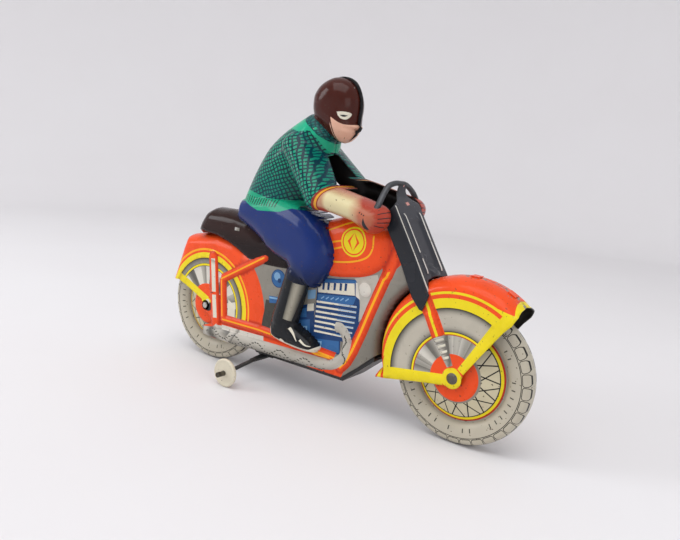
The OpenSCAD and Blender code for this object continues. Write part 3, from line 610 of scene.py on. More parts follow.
def body_shade(points, names):
    """Shade for each ink: airbrushed print on the printed tyre and hub sectors; painted shade near the panel's
    front edge, beside the tank, at the edges of the raised tubes and shock and on the exhaust's lower side; the
    panel also darker towards the bottom.
    """
    radius = np.linalg.norm(points - np.array(hub), axis=1)
    guard = radius < 24.4
    value = np.where(guard, np.clip((radius - 22.3) / 1.8, 0, 1), 0)
    # grey panel: painted shade near the front edge, and darker towards the bottom
    value = np.where((names == "grey") & ~guard,
                     np.clip(1 - away(points, front_edge) / 9, 0, 1) * 0.35
                     + np.clip((46 - points[:, 1]) / 40, 0, 0.35), value)
    # painted shade along the raised tank's edge
    value = np.where((names == "orange") & ~guard,
                     0.55 * np.clip(1 - away(points, tank, True) / 1.6, 0, 1)
                     * within(points, [(0, 57), (38, 57), (38, 90), (0, 90)]), value)
    # painted shade towards the edges of the raised frame tubes and the shock
    tube = np.minimum(away(points, down_tube), np.min([away(points, t) for t in tubes], axis=0))
    value = np.where((names == "orange") & (tube < 3), np.clip((tube - 1.1) / 1.4, 0, 0.8), value)
    rod = away(points, shock)
    value = np.where((names == "orange") & (rod < 3.3), np.clip((rod - 1.6) / 1.7, 0, 0.9), value)
    # painted shade on the lower side of the raised exhaust pipe
    value = np.where((names == "silver") & (radius > 24),
                     np.clip((17.4 - points[:, 1]) / 5, 0, 0.5), value)
    value = np.where((names == "silver") & (radius < 20.2),
                     0.5 + 0.5 * np.sin(np.arctan2(points[:, 1] - hub[1], points[:, 0] - hub[0]) * 9),
                     value)
    return value


def body_wear(points, names):
    return (0.75 * np.clip(1 - away(points, top_seam) / 1.2, 0, 1)
            + 0.5 * np.isin(names, ("silver", "pale")) * within(points, muffler + [(20, 14), (22, 40)]))


body_sheet = cut_sheet([body_outline], body_prints, 1.1, top_seam)
for side, mirrored in (("right", False), ("left", True)):
    shell = pressed(f"body_side_{side}", body_sheet, body_height, inks, black_back,
                    shade=body_shade, wear=body_wear, mirrored=mirrored)
    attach(shell, "frame")
    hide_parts(f"body_shell_{side}")


# ---- Front mudguard ----
# Two tinplate halves with the fork legs and stays pressed in and the upper part of the
# wheel printed on. Bent tabs hold them along the crest.

axle = (FRONT_X, AXLE_Z)
crest = (68.75, 33.5)
crest_seam = disc(crest, 35, 50.5, 196)
guard_outline = (crest_seam + [(34.6, 20), (39.2, 20.6), (52, 23), (65.4, 25.2)]
                 + disc((69.3, 28.8), 4, -75 + 360 - 60, 375)[3:]
                 + [(74, 31.9), (80.4, 41.6), (87.2, 51.6), (90, 54.8), (91.4, 58)])
leg = [(53.2, 59.4), (61.4, 44.2)]
spring_leg = [(61.6, 43.9), (67.7, 33.4)]


def guard_height(points):
    rise = np.full(len(points), 10.2)
    rise += 0.6 * roll(depth_in(points, guard_outline), 1.5)
    radius = np.linalg.norm(points - np.array(axle), axis=1)
    rise -= 0.5 * np.clip((27.7 - radius) / 1.0, 0, 1)
    stay = np.minimum(away(points, [(40, 23.6), (65.8, 27.4)]),
                      away(points, [(73, 32.8), (87, 54)]))
    rise = np.maximum(rise, 10.3 + 0.7 * half_round(stay, 2.2))
    low = np.clip((56 - points[:, 1]) / 4, 0, 1)
    rise = np.maximum(rise, (9 + 0.9 * low) + (0.4 + 1.2 * low) * half_round(away(points, leg), 3.1))
    narrow = 2.9 - 1.7 * np.clip((43.9 - points[:, 1]) / 10.5, 0, 1)
    coil = 1 + 0.22 * np.sin((43.9 - points[:, 1]) * 2 * math.pi / 2.35)
    rise = np.maximum(rise, 9.9 + 1.2 * coil * half_round(away(points, spring_leg), narrow))
    rise = np.maximum(rise, 10.3 + 0.7 * half_round(
        np.linalg.norm(points - np.array((69.3, 28.8)), axis=1), 4.3))
    return np.maximum(rise * roll(away(points, crest_seam), 5.2), 0.05)


guard_prints = [("orange", [(20, 0), (110, 0), (110, 80), (20, 80)])]
guard_prints += ring_print("yellow", axle, 34.2, 33.2, "orange")
guard_prints += [("yellow", disc(axle, 31.6)), ("dark", disc(axle, 27.8)), ("cream_tyre", disc(axle, 27.5)),
                 ("dark", disc(axle, 18.5)), ("yellow", disc(axle, 18.2)), ("rust", disc(axle, 17.4)),
                 ("silver", disc(axle, 17))]
guard_prints += [("pale", wedge(axle, 9.5, 17, a, a + w))
                 for a, w in ((186, 10), (166, 8), (142, 16), (118, 10), (96, 8), (70, 14), (46, 12))]
guard_prints += [("orange", disc(axle, 9.7)),
                 ("yellow", [(30, 27), (41, 26.2), (65.2, 29.6), (66, 24), (39.2, 18), (30, 18)]),
                 ("yellow", [(71.2, 33.4), (82.3, 53.3), (84, 60), (91, 58), (92, 55), (75, 31)]),
                 ("orange", wedge(axle, 31.6, 33.2, 60, 215)),
                 ("orange", [(36, 20), (30, 20), (30, 30), (38.4, 30)]),
                 ("yellow", band([(36.3, 19), (35.7, 24.5), (35.3, 29)], 1.1)),
                 ("yellow", [(89.2, 63.6), (92.8, 61.5), (91.5, 53), (89.6, 52.5), (90.1, 58), (88.4, 62.6)]),
                 ("orange", band(leg, 6.1)), ("yellow", band(leg, 1.2)),
                 ("silver", band(spring_leg, 5.6, 2.6))]
for i in range(4):
    t = 0.1 + 0.2 * i
    c = Vector(spring_leg[0]).lerp(Vector(spring_leg[1]), t)
    half = 2.3 - 0.3 * i
    guard_prints += [("cream", band([c + Vector((-0.8, -0.42)) * half, c + Vector((0.8, 0.42)) * half], 0.9)),
                     ("grey", band([c + Vector((-0.8, -1.1)) * half * 0.9, c + Vector((0.9, -0.2)) * half * 0.9],
                                   0.4))]
guard_prints += [("yellow", disc((69.3, 28.8), 4.4))]
inks["cream_tyre"] = ink("printed_tyre_ink", "B9B3A4", "3F3E3A")


def guard_shade(points, names):
    radius = np.linalg.norm(points - np.array(axle), axis=1)
    value = np.where(names == "cream_tyre",
                     np.clip((radius - 24.6) / 3, 0, 1) ** 1.5
                     + 0.75 * np.clip((20.8 - radius) / 2.2, 0, 1) ** 1.5, 0)
    turn = np.arctan2(points[:, 1] - axle[1], points[:, 0] - axle[0])
    value = np.where(np.isin(names, ("silver", "pale")), 0.45 + 0.45 * np.sin(turn * 11), value)
    # painted shade towards the edges of the raised fork leg
    value = np.where(away(points, leg) < 3, np.clip(away(points, leg) / 2.6 - 0.5, 0, 0.6), value)
    return value


def guard_wear(points, names):
    tip = np.clip(1 - np.linalg.norm(points - np.array((90, 58)), axis=1) / 7, 0, 1)
    return np.maximum(0.8 * np.clip(1 - away(points, crest_seam) / 1.0, 0, 1), 0.55 * tip) \
        + 0.25 * np.clip(1 - away(points, [(40, 23), (66, 27)]) / 2, 0, 1)


guard_sheet = cut_sheet([guard_outline], guard_prints, 1.0, crest_seam)
for side, mirrored in (("right", False), ("left", True)):
    shell = pressed(f"front_mudguard_{side}", guard_sheet, guard_height, inks, black_back,
                    shade=guard_shade, wear=guard_wear, mirrored=mirrored)
    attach(shell, "frame")
    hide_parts(f"front_guard_{side}")


# ---- Road wheels ----
# Each wheel is two dished tinplate halves crimped together under the tread. Spokes,
# rim lines, tread blocks and wall marks are printed; the hub face is a raised orange boss.

round_axle, given, result = new_group("round_axle", [("Axle X", NUMBER, 0)],
                                      [("Radius", NUMBER), ("Turn", NUMBER)])
sides = node(round_axle, "ShaderNodeSeparateXYZ",
             {0: node(round_axle, "ShaderNodeTexCoord").outputs["Object"]}).outputs
wide = math_node(round_axle, "SUBTRACT", sides["X"], given["Axle X"])
high = math_node(round_axle, "SUBTRACT", sides["Z"], AXLE_Z * MM)
square = math_node(round_axle, "ADD", math_node(round_axle, "MULTIPLY", wide, wide),
                   math_node(round_axle, "MULTIPLY", high, high))
round_axle.links.new(math_node(round_axle, "MULTIPLY", math_node(round_axle, "SQRT", square), 1000.0),
                     result.inputs["Radius"])
round_axle.links.new(math_node(round_axle, "DIVIDE", math_node(round_axle, "ARCTAN2", high, wide),
                               2 * math.pi), result.inputs["Turn"])


def to_cell(tree, turn, count, radius):
    """Distance along the ring, in mm, from the nearest of so many equal places."""
    near = math_node(tree, "PINGPONG", math_node(tree, "MULTIPLY", turn, float(count)), 0.5)
    return math_node(tree, "MULTIPLY", near, math_node(tree, "MULTIPLY", radius, 2 * math.pi / count))


wire_spokes, given, result = new_group(
    "wire_spokes", [("Radius", NUMBER, 0), ("Turn", NUMBER, 0)], [("Mask", NUMBER)])
SPOKES, FLANGE_R = 15, 6.0
lean_angle = math_node(wire_spokes, "DIVIDE", math_node(
    wire_spokes, "ARCCOSINE", math_node(wire_spokes, "DIVIDE", FLANGE_R, given["Radius"])), 2 * math.pi)
run = math_node(wire_spokes, "SQRT", math_node(
    wire_spokes, "SUBTRACT", math_node(wire_spokes, "POWER", given["Radius"], 2.0), FLANGE_R ** 2))
wires = [step_up(wire_spokes, to_cell(wire_spokes, math_node(wire_spokes, way, given["Turn"], lean_angle),
                                      SPOKES, run), 0.3, 0.18) for way in ("ADD", "SUBTRACT")]
wire_spokes.links.new(math_node(wire_spokes, "MAXIMUM", *wires), result.inputs["Mask"])

tread_print, given, result = new_group(
    "tread_print", [("Radius", NUMBER, 0), ("Turn", NUMBER, 0)], [("Mask", NUMBER), ("Shade", NUMBER)])
BLOCKS, MARKS = 33, 46
radius = given["Radius"]


def line_at(value, place, half):
    gap = math_node(tread_print, "ABSOLUTE", math_node(tread_print, "SUBTRACT", value, place))
    return step_up(tread_print, gap, half + 0.06, half)


beside = math_node(tread_print, "SUBTRACT", 2.55, to_cell(tread_print, given["Turn"], BLOCKS, radius))
outward = math_node(tread_print, "ABSOLUTE", math_node(tread_print, "SUBTRACT", radius, 27.35))
corner_a = math_node(tread_print, "MAXIMUM", math_node(tread_print, "SUBTRACT", 1.15, beside), 0.0)
corner_b = math_node(tread_print, "MAXIMUM", math_node(tread_print, "SUBTRACT", outward, 0.45), 0.0)
corner = math_node(tread_print, "SQRT", math_node(tread_print, "ADD", math_node(
    tread_print, "POWER", corner_a, 2.0), math_node(tread_print, "POWER", corner_b, 2.0)))
blocks = line_at(corner, 0.95, 0.1)
tick = to_cell(tread_print, given["Turn"], MARKS, radius)
skipped = node(tread_print, "ShaderNodeTexWhiteNoise", {"W": math_node(
    tread_print, "ROUND", math_node(tread_print, "MULTIPLY", given["Turn"], float(MARKS)))},
    noise_dimensions="1D").outputs["Value"]
ticks = math_node(tread_print, "MULTIPLY", line_at(radius, 22.5, 0.8), math_node(
    tread_print, "MULTIPLY", step_up(tread_print, tick, 0.3, 0.2),
    math_node(tread_print, "LESS_THAN", skipped, 0.62)))
mask = math_node(tread_print, "MAXIMUM", line_at(radius, 25.5, 0.11),
                 math_node(tread_print, "MAXIMUM", blocks, math_node(tread_print, "MULTIPLY", ticks, 0.85)))
tread_print.links.new(mask, result.inputs["Mask"])
tread_print.links.new(math_node(tread_print, "MULTIPLY", step_up(tread_print, radius, 21.0, 18.9), 0.6),
                      result.inputs["Shade"])


def wheel_ink(name, axle_x, pattern, colour, deep):
    """A cream print with black lines laid out round one axle."""
    material, tree, bsdf = shader(name, {"Coat Weight": 0.2, "Coat Roughness": 0.1,
                                         "Specular IOR Level": 0.12})
    polar = group_node(tree, round_axle, {"Axle X": axle_x * MM})
    drawn = group_node(tree, pattern, {"Radius": polar["Radius"], "Turn": polar["Turn"]})
    shade = drawn["Shade"] if "Shade" in drawn else 0.0
    lines = mix(tree, drawn["Mask"], linear(colour), linear("1B1A18"))
    wear = node(tree, "ShaderNodeAttribute", attribute_name="wear").outputs["Fac"]
    coated = group_node(tree, printed_tin, {"Ink": lines, "Deep Ink": linear(deep), "Shade": shade,
                                            "Wear": wear, "Age": 0.8, "Gloss": 0.24})
    connect(tree, coated, bsdf)
    return material


def turned(name, profile, centre, materials, index_of, sectors=144, flip=False, wear=None):
    """Turns a profile of (radius, y) points round an axle that lies along Y."""
    bm = bmesh.new()
    worn = bm.faces.layers.float.new("wear_face")
    rings = [[bm.verts.new(((centre[0] + r * math.cos(a)) * MM, y * MM, (centre[1] + r * math.sin(a)) * MM))
              for a in (2 * math.pi * k / sectors for k in range(sectors))] for r, y in profile]
    for i, (near, far) in enumerate(zip(rings, rings[1:])):
        mid = (profile[i][0] + profile[i + 1][0]) / 2
        for k in range(sectors):
            n = (k + 1) % sectors
            loop = (near[k], near[n], far[n], far[k])
            face = bm.faces.new(loop[::-1] if flip else loop)
            face.material_index = index_of(mid, i)
            face.smooth = True
            face[worn] = wear(mid) if wear else 0
    mesh = bpy.data.meshes.new(name)
    bm.to_mesh(mesh)
    bm.free()
    values = np.zeros(len(mesh.polygons), np.float32)
    mesh.attributes["wear_face"].data.foreach_get("value", values)
    mesh.attributes.remove(mesh.attributes["wear_face"])
    mesh.attributes.new("wear", "FLOAT", "FACE").data.foreach_set("value", values)
    return add_object(name, mesh, *materials)


wheel_bands = [(9.95, "hub"), (10.9, "hub_grey"), (16.8, "spokes"), (17.2, "black"), (18.2, "yellow"),
               (18.85, "red"), (99, "tyre")]
inks["hub_grey"] = ink("hub_shadow_ink", "8F897D", "4A4842")


def wheel_profile(out):
    """Section of one half from its hub hole to the seam under the tread."""
    boss = [(1.55, out), (3, out), (5.5, out), (8.6, out), (9.3, out - 0.12), (9.8, out - 0.5),
            (10.1, out - 0.95)]
    dish = [(r, out - 0.95 - (out - 3.35) * (r - 10.1) / 9.3)
            for r in (10.65, 11.2, 12.6, 14, 15.4, 16.8, 17.2, 17.7, 18.2, 18.85, 19.4)]
    tyre = curve([(19.4, 2.4), (20.1, 3.2), (22, 4.4), (24.4, 4.9), (26.4, 4.8), (27.8, 4.3),
                  (28.55, 3.1), (28.9, 1.6), (29, 0.35)], 3)
    return boss + dish + tyre[1:] + [(28.93, 0.12), (28.8, 0.02)]


def wheel_half(name, axle_x, out, side, materials):
    profile = wheel_profile(out)
    sign = -1 if side == "right" else 1
    profile = [(r, sign * y) for r, y in profile]
    names = [n for _, n in wheel_bands]

    def band_of(mid, _):
        return next(i for i, (limit, _) in enumerate(wheel_bands) if mid < limit)

    half = turned(name, profile, (axle_x, AXLE_Z), [materials[n] for n in names] + [black_back], band_of,
                  flip=side == "right", wear=lambda mid: 0.55 if mid > 28.6 else 0.12)
    wall = half.modifiers.new("wall", "SOLIDIFY")
    wall.thickness, wall.offset = 0.4 * MM, -1
    wall.material_offset = wall.material_offset_rim = len(names)
    return half


for place, axle_x, left_out in (("rear", REAR_X, 4.9), ("front", FRONT_X, 8.5)):
    wheel_inks = {"hub": inks["orange"], "hub_grey": inks["hub_grey"], "black": inks["dark"],
                  "yellow": inks["yellow"], "red": inks["rust"],
                  "spokes": wheel_ink(f"{place}_spoke_print", axle_x, wire_spokes, "CBC2A4", "A89F84"),
                  "tyre": wheel_ink(f"{place}_tyre_print", axle_x, tread_print, "BBB4A2", "6B675D")}
    for side, out in (("right", 8.5), ("left", left_out)):
        half = wheel_half(f"{place}_wheel_print_{side}", axle_x, out, side, wheel_inks)
        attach(half, f"{place}_wheel")
        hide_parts(f"{place}_wheel_{side}")


# ---- Metal parts, clockwork and underside ----
# Axles, tabs, plates, gears, spring and key are bare metal; the belly plate and the
# strip under it are stove black.

bare_metal, given, result = new_group(
    "bare_metal", [("Metal", COLOUR, None), ("Tarnish", COLOUR, None), ("Dullness", NUMBER, 0.3)],
    [("Colour", COLOUR), ("Roughness", NUMBER), ("Normal", VECTOR)])
place = node(bare_metal, "ShaderNodeTexCoord").outputs["Object"]
patches = noise(bare_metal, place, 260, 5, 0.6)
drawn = node(bare_metal, "ShaderNodeMapping", {"Vector": place, "Scale": (1, 0.08, 1)}).outputs["Vector"]
lines = noise(bare_metal, drawn, 2600, 2)
tarnished = mix(bare_metal, step_up(bare_metal, patches, 0.45, 0.75), given["Metal"], given["Tarnish"])
bare_metal.links.new(mix(bare_metal, math_node(bare_metal, "MULTIPLY", lines, 0.35), tarnished,
                         linear("2B2A28")), result.inputs["Colour"])
bare_metal.links.new(math_node(bare_metal, "MULTIPLY_ADD", patches, 0.3, given["Dullness"]),
                     result.inputs["Roughness"])
bare_metal.links.new(node(bare_metal, "ShaderNodeBump", {"Height": math_node(
    bare_metal, "MULTIPLY_ADD", lines, 0.4, patches), "Strength": 0.3, "Distance": 0.0002}
    ).outputs["Normal"], result.inputs["Normal"])


def metal(name, colour, tarnish, dullness=0.18, metallic=1.0):
    material, tree, bsdf = shader(name, {"Metallic": metallic})
    made = group_node(tree, bare_metal, {"Metal": linear(colour), "Tarnish": linear(tarnish),
                                         "Dullness": dullness})
    connect(tree, made, bsdf)
    return material


metals = {"bright_tin": metal("bare_tin", "C9C7C0", "8B867A"),
          "spring_steel": metal("spring_steel", "7D8590", "4B4A48", 0.12),
          "gear_brass": metal("gear_brass", "C9A54E", "7E6430", 0.14),
          "black_lacquer": metal("stove_black", "17181A", "26231F", 0.22, 0.0),
          "print_grey": metal("grey_bar_tin", "4B4D51", "2C2D2F", 0.25, 0.4)}
slots = {part["node"]: part["material_slot"] for part in frame["record"]["subparts"]}
for name, slot_name in slots.items():
    if slot_name in metals:
        part = frame["nodes"][name]
        part.data.materials.clear()
        part.data.materials.append(metals[slot_name])
rivet_tin = metal("axle_rivet", "6E6A62", "35312C", 0.25)
for name in ("front_axle", "outrigger_pins"):
    frame["nodes"][name].data.materials[0] = rivet_tin
for name in ("seam_tabs", "guard_crest_tabs"):
    frame["nodes"][name].data.materials[0] = inks["orange"]


# ---- Steadying wheels ----
# Small cream painted discs turned with a rolled lip, loose on pins under the body.

cream_paint = ink("cream_paint", "D9D2BC", "A29A83", age=0.9, gloss=0.28)
disc_section = [(0.92, 0.75), (1.6, 0.8), (2.2, 0.62), (4.8, 0.5), (5.5, 0.62), (6.0, 0.84), (6.4, 0.74),
                (6.62, 0.4), (6.66, 0)]
disc_section += [(r, -y) for r, y in disc_section[-2::-1]]
disc_section.append(disc_section[0])
for side, sign in (("right", -1), ("left", 1)):
    section = [(r, sign * 28.4 + sign * y) for r, y in disc_section]
    small = turned(f"steadying_wheel_{side}", section, (-34.6, 6.66), [cream_paint], lambda mid, i: 0,
                   sectors=72, flip=side == "right", wear=lambda mid: 0.5 if mid > 5.8 else 0.1)
    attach(small, f"outrigger_{side}")
    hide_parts(f"outrigger_wheel_{side}")


# ---- Seat ----
# A dark brown lacquered tin pressing over the rear mudguard, rolled over along its top.

seat_top = [(-79.6, 64.6), (-81.1, 65.5), (-80.6, 68.8), (-79.1, 72.1), (-75.8, 76.8), (-71.7, 78.8),
            (-62, 78.9), (-53.1, 78.4), (-44, 77), (-36, 73)]
seat_outline = seat_top + [(-29.8, 66), (-16, 62), (-16.6, 56), (-28, 55.6), (-36, 55.8),
                           (-42.8, 57), (-50, 60.6), (-56.8, 63.4), (-64, 65.3), (-72.6, 66)]
inks["seat"] = ink("seat_lacquer", "2C1814", "160D0D", age=0.7, gloss=0.12)


def seat_height(points):
    rise = 8.6 + 1.4 * roll(depth_in(points, seat_outline), 2.4)
    rise += 0.25 * np.sin(np.clip((points[:, 0] + 78) / 26, 0, 1) * math.pi)
    return np.maximum(rise * roll(away(points, seat_top), 6.5), 0.05)


seat_sheet = cut_sheet([seat_outline], [("seat", [(-90, 50), (-20, 50), (-20, 90), (-90, 90)])], 1.1,
                       seat_top)
# the seat's painted shade: darker towards its lower edge
seat_halves = [pressed(f"seat_{side}", seat_sheet, seat_height, inks, black_back, mirrored=mirrored,
                       shade=lambda p, n: np.clip((70 - p[:, 1]) / 8, 0, 0.8),
                       wear=lambda p, n: 0.5 * np.clip(1 - away(p, seat_top) / 1.2, 0, 1))
               for side, mirrored in (("right", False), ("left", True))]
for half in seat_halves:
    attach(half, "frame")
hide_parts("seat_cover")


# ---- Fork cover and handlebar ----
# A dark grey sheet bent to a channel over the fork, with white lines and a pressed
# panel. The bar is a rounded strip bent over the cover's neck to the rider's hands.

cover_top = Vector((36.5, 0, 91.7))
down_cover = Vector((0.5195, 0, -0.8545))
behind_cover = Vector((-0.8545, 0, -0.5195))
half_cover = [(0, 31), (4, 31.1), (7.6, 31.6), (9.2, 34), (10, 37.4), (12.2, 39.6), (15.4, 42.2), (16.4, 41.2),
              (17.4, 36), (17.4, 1), (10.4, -1.4), (7, -3), (4.4, -5.6), (3.2, -7.6), (2.8, -9.5), (0, -9.5)]
cover_outline = half_cover + [(-u, s) for u, s in half_cover[::-1] if u]
cover_panel = [(4.4, 6), (4.4, 24), (3.6, 27), (1.6, 28.8), (0, 29.2), (-1.6, 28.8), (-3.6, 27),
               (-4.4, 24), (-4.4, 6)]
inks["cover"] = ink("cover_grey", "37393F", "1E2024", age=0.5, gloss=0.18)
inks["white_line"] = ink("white_line", "DAD9D2", "A9A69C")
inks["pink"] = ink("primer_tab", "C98E86", "8E5A52")
cover_prints = [("cover", [(-30, -20), (30, -20), (30, 60), (-30, 60)])]
for s in (1, -1):
    cover_prints += [("white_line", band([(s * 10, -1), (s * 10, 36)], 0.42)),
                     ("dark", band([(s * 9.6, -1), (s * 9.6, 36)], 0.4)),
                     ("white_line", band(curve([(s * 6.9, 3), (s * 6.3, 5.4), (s * 6.2, 29)]), 0.5, 0.9))]
cover_prints += [("cover", [(3, 20), (8, 20), (8, 22.6), (3, 22.6)])]
cover_prints += [("dark", band([(-2.6, -1.8), (2.2, -1.4)], 1.8)),
                 ("pink", band([(-1.5, -1.8), (1, -1.4)], 1.5)), ("dark", disc((1.6, -9.6), 0.5)),
                 ("pink", disc((-0.9, -9.2), 0.35))]
BEND_R = 1.0
FACE_HALF = 9.4             # half width of the flat front
FLARE = 1.4                 # how far the lower sides stand out over the mudguard


def lay_cover(points, rise):
    """Folds the flat cover: a front face, two bends and two sides that run back."""
    u, s = np.abs(points[:, 0]), points[:, 1]
    turn = np.clip((u - FACE_HALF) / BEND_R, 0, math.pi / 2)
    beyond = np.maximum(u - FACE_HALF - BEND_R * math.pi / 2, 0)
    out = (np.minimum(u, FACE_HALF) + BEND_R * np.sin(turn)
           + FLARE * np.clip((s - 22) / 12, 0, 1) * (u > 8) * turn / 1.6)
    back = BEND_R * (1 - np.cos(turn)) + beyond - rise
    top = np.clip(-s / 7, 0, 1) ** 1.5 * 1.6 - 5.4 * np.clip((-s - 5) / 7, 0, 1) ** 1.5
    centre = np.array(cover_top) + np.outer(s, down_cover) + np.outer(back + top, behind_cover)
    centre[:, 1] = -np.sign(points[:, 0]) * out
    return centre


def cover_rise(points):
    groove = 0.5 * roll(depth_in(points, cover_panel), 1.0)
    rib = 0.55 * half_round(np.abs(np.abs(points[:, 0]) - 6.4), 1.2)
    rib *= np.clip((14 - np.abs(points[:, 1] - 16)) / 2, 0, 1)
    boss = 0.7 * half_round(np.linalg.norm(points - np.array((0, 29)), axis=1), 3.6)
    return rib + boss - groove


cover_sheet = cut_sheet([cover_outline], cover_prints, 0.7)
# the cover's folded sides get painted shade, darker away from the front face
cover = pressed("fork_cover_pressing", cover_sheet, cover_rise, inks, black_back, lay=lay_cover,
                shade=lambda p, n: np.clip((np.abs(p[:, 0]) - 9) / 3, 0, 0.7),
                wear=lambda p, n: 0.55 * np.clip(1 - away(p, cover_outline, True) / 0.8, 0, 1))
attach(cover, "frame")
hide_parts("fork_cover")


def space_curve(path, steps=6):
    pts = [Vector(p) for p in path]
    pts = [2 * pts[0] - pts[1]] + pts + [2 * pts[-1] - pts[-2]]
    out = []
    for p0, p1, p2, p3 in zip(pts, pts[1:], pts[2:], pts[3:]):
        for t in (i / steps for i in range(steps)):
            out.append(0.5 * (2 * p1 + (p2 - p0) * t + (2 * p0 - 5 * p1 + 4 * p2 - p3) * t * t
                              + (3 * p1 - p0 - 3 * p2 + p3) * t ** 3))
    return out + [pts[-2]]


def bent_strip(name, path, width, depth, material):
    """A strip of some half width and half depth, rounded at its edges, along a path."""
    tree = bpy.data.node_groups.new(name, "GeometryNodeTree")
    for label, kind in (("Route", "NodeSocketGeometry"), ("Half Width", NUMBER), ("Half Depth", NUMBER),
                        ("Finish", "NodeSocketMaterial")):
        tree.interface.new_socket(label, in_out="INPUT", socket_type=kind)
    tree.interface.new_socket("Strip", in_out="OUTPUT", socket_type="NodeSocketGeometry")
    given = tree.nodes.new("NodeGroupInput").outputs
    ring = node(tree, "GeometryNodeCurvePrimitiveCircle", {"Resolution": 16, "Radius": 1.0}).outputs[0]
    size = node(tree, "ShaderNodeCombineXYZ", {0: given["Half Width"], 1: given["Half Depth"], 2: 1.0})
    section = node(tree, "GeometryNodeTransform", {"Geometry": ring, "Scale": size.outputs[0]}).outputs[0]
    route = node(tree, "GeometryNodeMeshToCurve", {"Mesh": given["Route"]}).outputs[0]
    strip = node(tree, "GeometryNodeCurveToMesh", {"Curve": route, "Profile Curve": section,
                                                   "Fill Caps": True}).outputs[0]
    whole = node(tree, "GeometryNodeRealizeInstances", {"Geometry": strip}).outputs[0]
    finished = node(tree, "GeometryNodeSetMaterial", {"Geometry": whole, "Material": given["Finish"]})
    end = tree.nodes.new("NodeGroupOutput")
    tree.links.new(finished.outputs[0], end.inputs["Strip"])
    line = bpy.data.meshes.new(name + "_route")
    line.from_pydata([tuple(p * MM) for p in path], [(i, i + 1) for i in range(len(path) - 1)], [])
    maker = bpy.data.objects.new(name + "_route", line)
    bpy.context.collection.objects.link(maker)
    build = maker.modifiers.new("build", "NODES")
    build.node_group = tree
    values = {"Half Width": width * MM, "Half Depth": depth * MM, "Finish": material}
    for socket in tree.interface.items_tree:
        if socket.name in values:
            build[socket.identifier] = values[socket.name]
    seen = maker.evaluated_get(bpy.context.evaluated_depsgraph_get())
    mesh = bpy.data.meshes.new_from_object(seen)
    bpy.data.objects.remove(maker)
    mesh.name = name
    bm = bmesh.new()
    bm.from_mesh(mesh)
    bmesh.ops.remove_doubles(bm, verts=bm.verts, dist=1e-6)
    bmesh.ops.recalc_face_normals(bm, faces=bm.faces)
    bm.to_mesh(mesh)
    bm.free()
    mesh.shade_smooth()
    return add_object(name, mesh)


bar_path = space_curve([(30.5, -18.5, 88.6), (30.6, -15, 91.6), (30.1, -11, 96), (30.2, -7.4, 99.6),
                        (30.9, -3.6, 100.9), (31.2, 0, 100.9), (31.4, 4.5, 100.4), (31.7, 10, 97.6),
                        (31.3, 15, 94), (31, 19, 91)])
bar = bent_strip("handlebar_strip", bar_path, 1.35, 1.1, metals["print_grey"])
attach(bar, "frame")
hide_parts("handlebar")


# ---- Rider ----
# Two pressed tinplate halves joined down the middle, printed with helmet, mask, jumper,
# gloves, trousers and boots. Arms and legs are open on the inside, where the tin is black.

knit, given, result = new_group("knit", [("Wool", COLOUR, None), ("Stitch", COLOUR, None),
                                         ("Spacing", NUMBER, 2.0), ("Strength", NUMBER, 0.8)],
                                [("Colour", COLOUR)])
sides = node(knit, "ShaderNodeSeparateXYZ", {0: node(knit, "ShaderNodeTexCoord").outputs["Object"]}).outputs
wobble = math_node(knit, "MULTIPLY", noise(knit, node(knit, "ShaderNodeTexCoord").outputs["Object"], 180, 2),
                   0.0022)
threads = []
for along, over in ((0.91, 0.42), (-0.36, 0.93)):
    place = math_node(knit, "ADD", math_node(knit, "MULTIPLY", sides["X"], along),
                      math_node(knit, "MULTIPLY", sides["Z"], over))
    cell = math_node(knit, "DIVIDE", math_node(knit, "MULTIPLY", math_node(knit, "ADD", place, wobble), 1000.0),
                     given["Spacing"])
    threads.append(step_up(knit, math_node(knit, "PINGPONG", cell, 0.5), 0.24, 0.14))
woven = math_node(knit, "MULTIPLY", math_node(knit, "MAXIMUM", *threads), given["Strength"])
knit.links.new(mix(knit, woven, given["Wool"], given["Stitch"]), result.inputs["Colour"])


def woollen(name, wool, stitch, deep, spacing, strength):
    material, tree, bsdf = shader(name, {"Coat Weight": 0.2, "Coat Roughness": 0.1,
                                         "Specular IOR Level": 0.12})
    drawn = group_node(tree, knit, {"Wool": linear(wool), "Stitch": linear(stitch), "Spacing": spacing,
                                    "Strength": strength})
    given = {"Ink": drawn["Colour"], "Deep Ink": linear(deep), "Age": 0.5, "Gloss": 0.2}
    for label in ("Shade", "Wear"):
        given[label] = node(tree, "ShaderNodeAttribute", attribute_name=label.lower()).outputs["Fac"]
    connect(tree, group_node(tree, printed_tin, given), bsdf)
    return material


inks.update({
    "jumper": woollen("jumper_print", "149474", "06303A", "0A4454", 1.7, 1.0),
    "yoke": ink("jumper_yoke", "1FA880", "157F6B"),
    "hem": ink("jumper_hem", "17A079", "0E6A5C"),
    "collar": woollen("jumper_collar", "146A63", "0A2E38", "0C2B33", 1.3, 0.8),
    "trousers": ink("trouser_ink", "172E6C", "141A2C", gloss=0.08),
    "boot": ink("boot_ink", "1B1D20", "111214", gloss=0.15),
    "shine": ink("boot_shine", "A9A595", "2B2C2C", gloss=0.15),
    "glove": ink("glove_ink", "D8CCA0", "A8402F", age=0.7),
    "cuff": ink("cuff_ink", "8A2E24", "5E201B"), "gold": ink("gold_line", "D89A2E", "A8601F"),
    "helmet": ink("helmet_ink", "431C15", "28120F", age=0.35, gloss=0.08),
    "flesh": ink("flesh_ink", "E3B49B", "D29A84", age=0.6)})

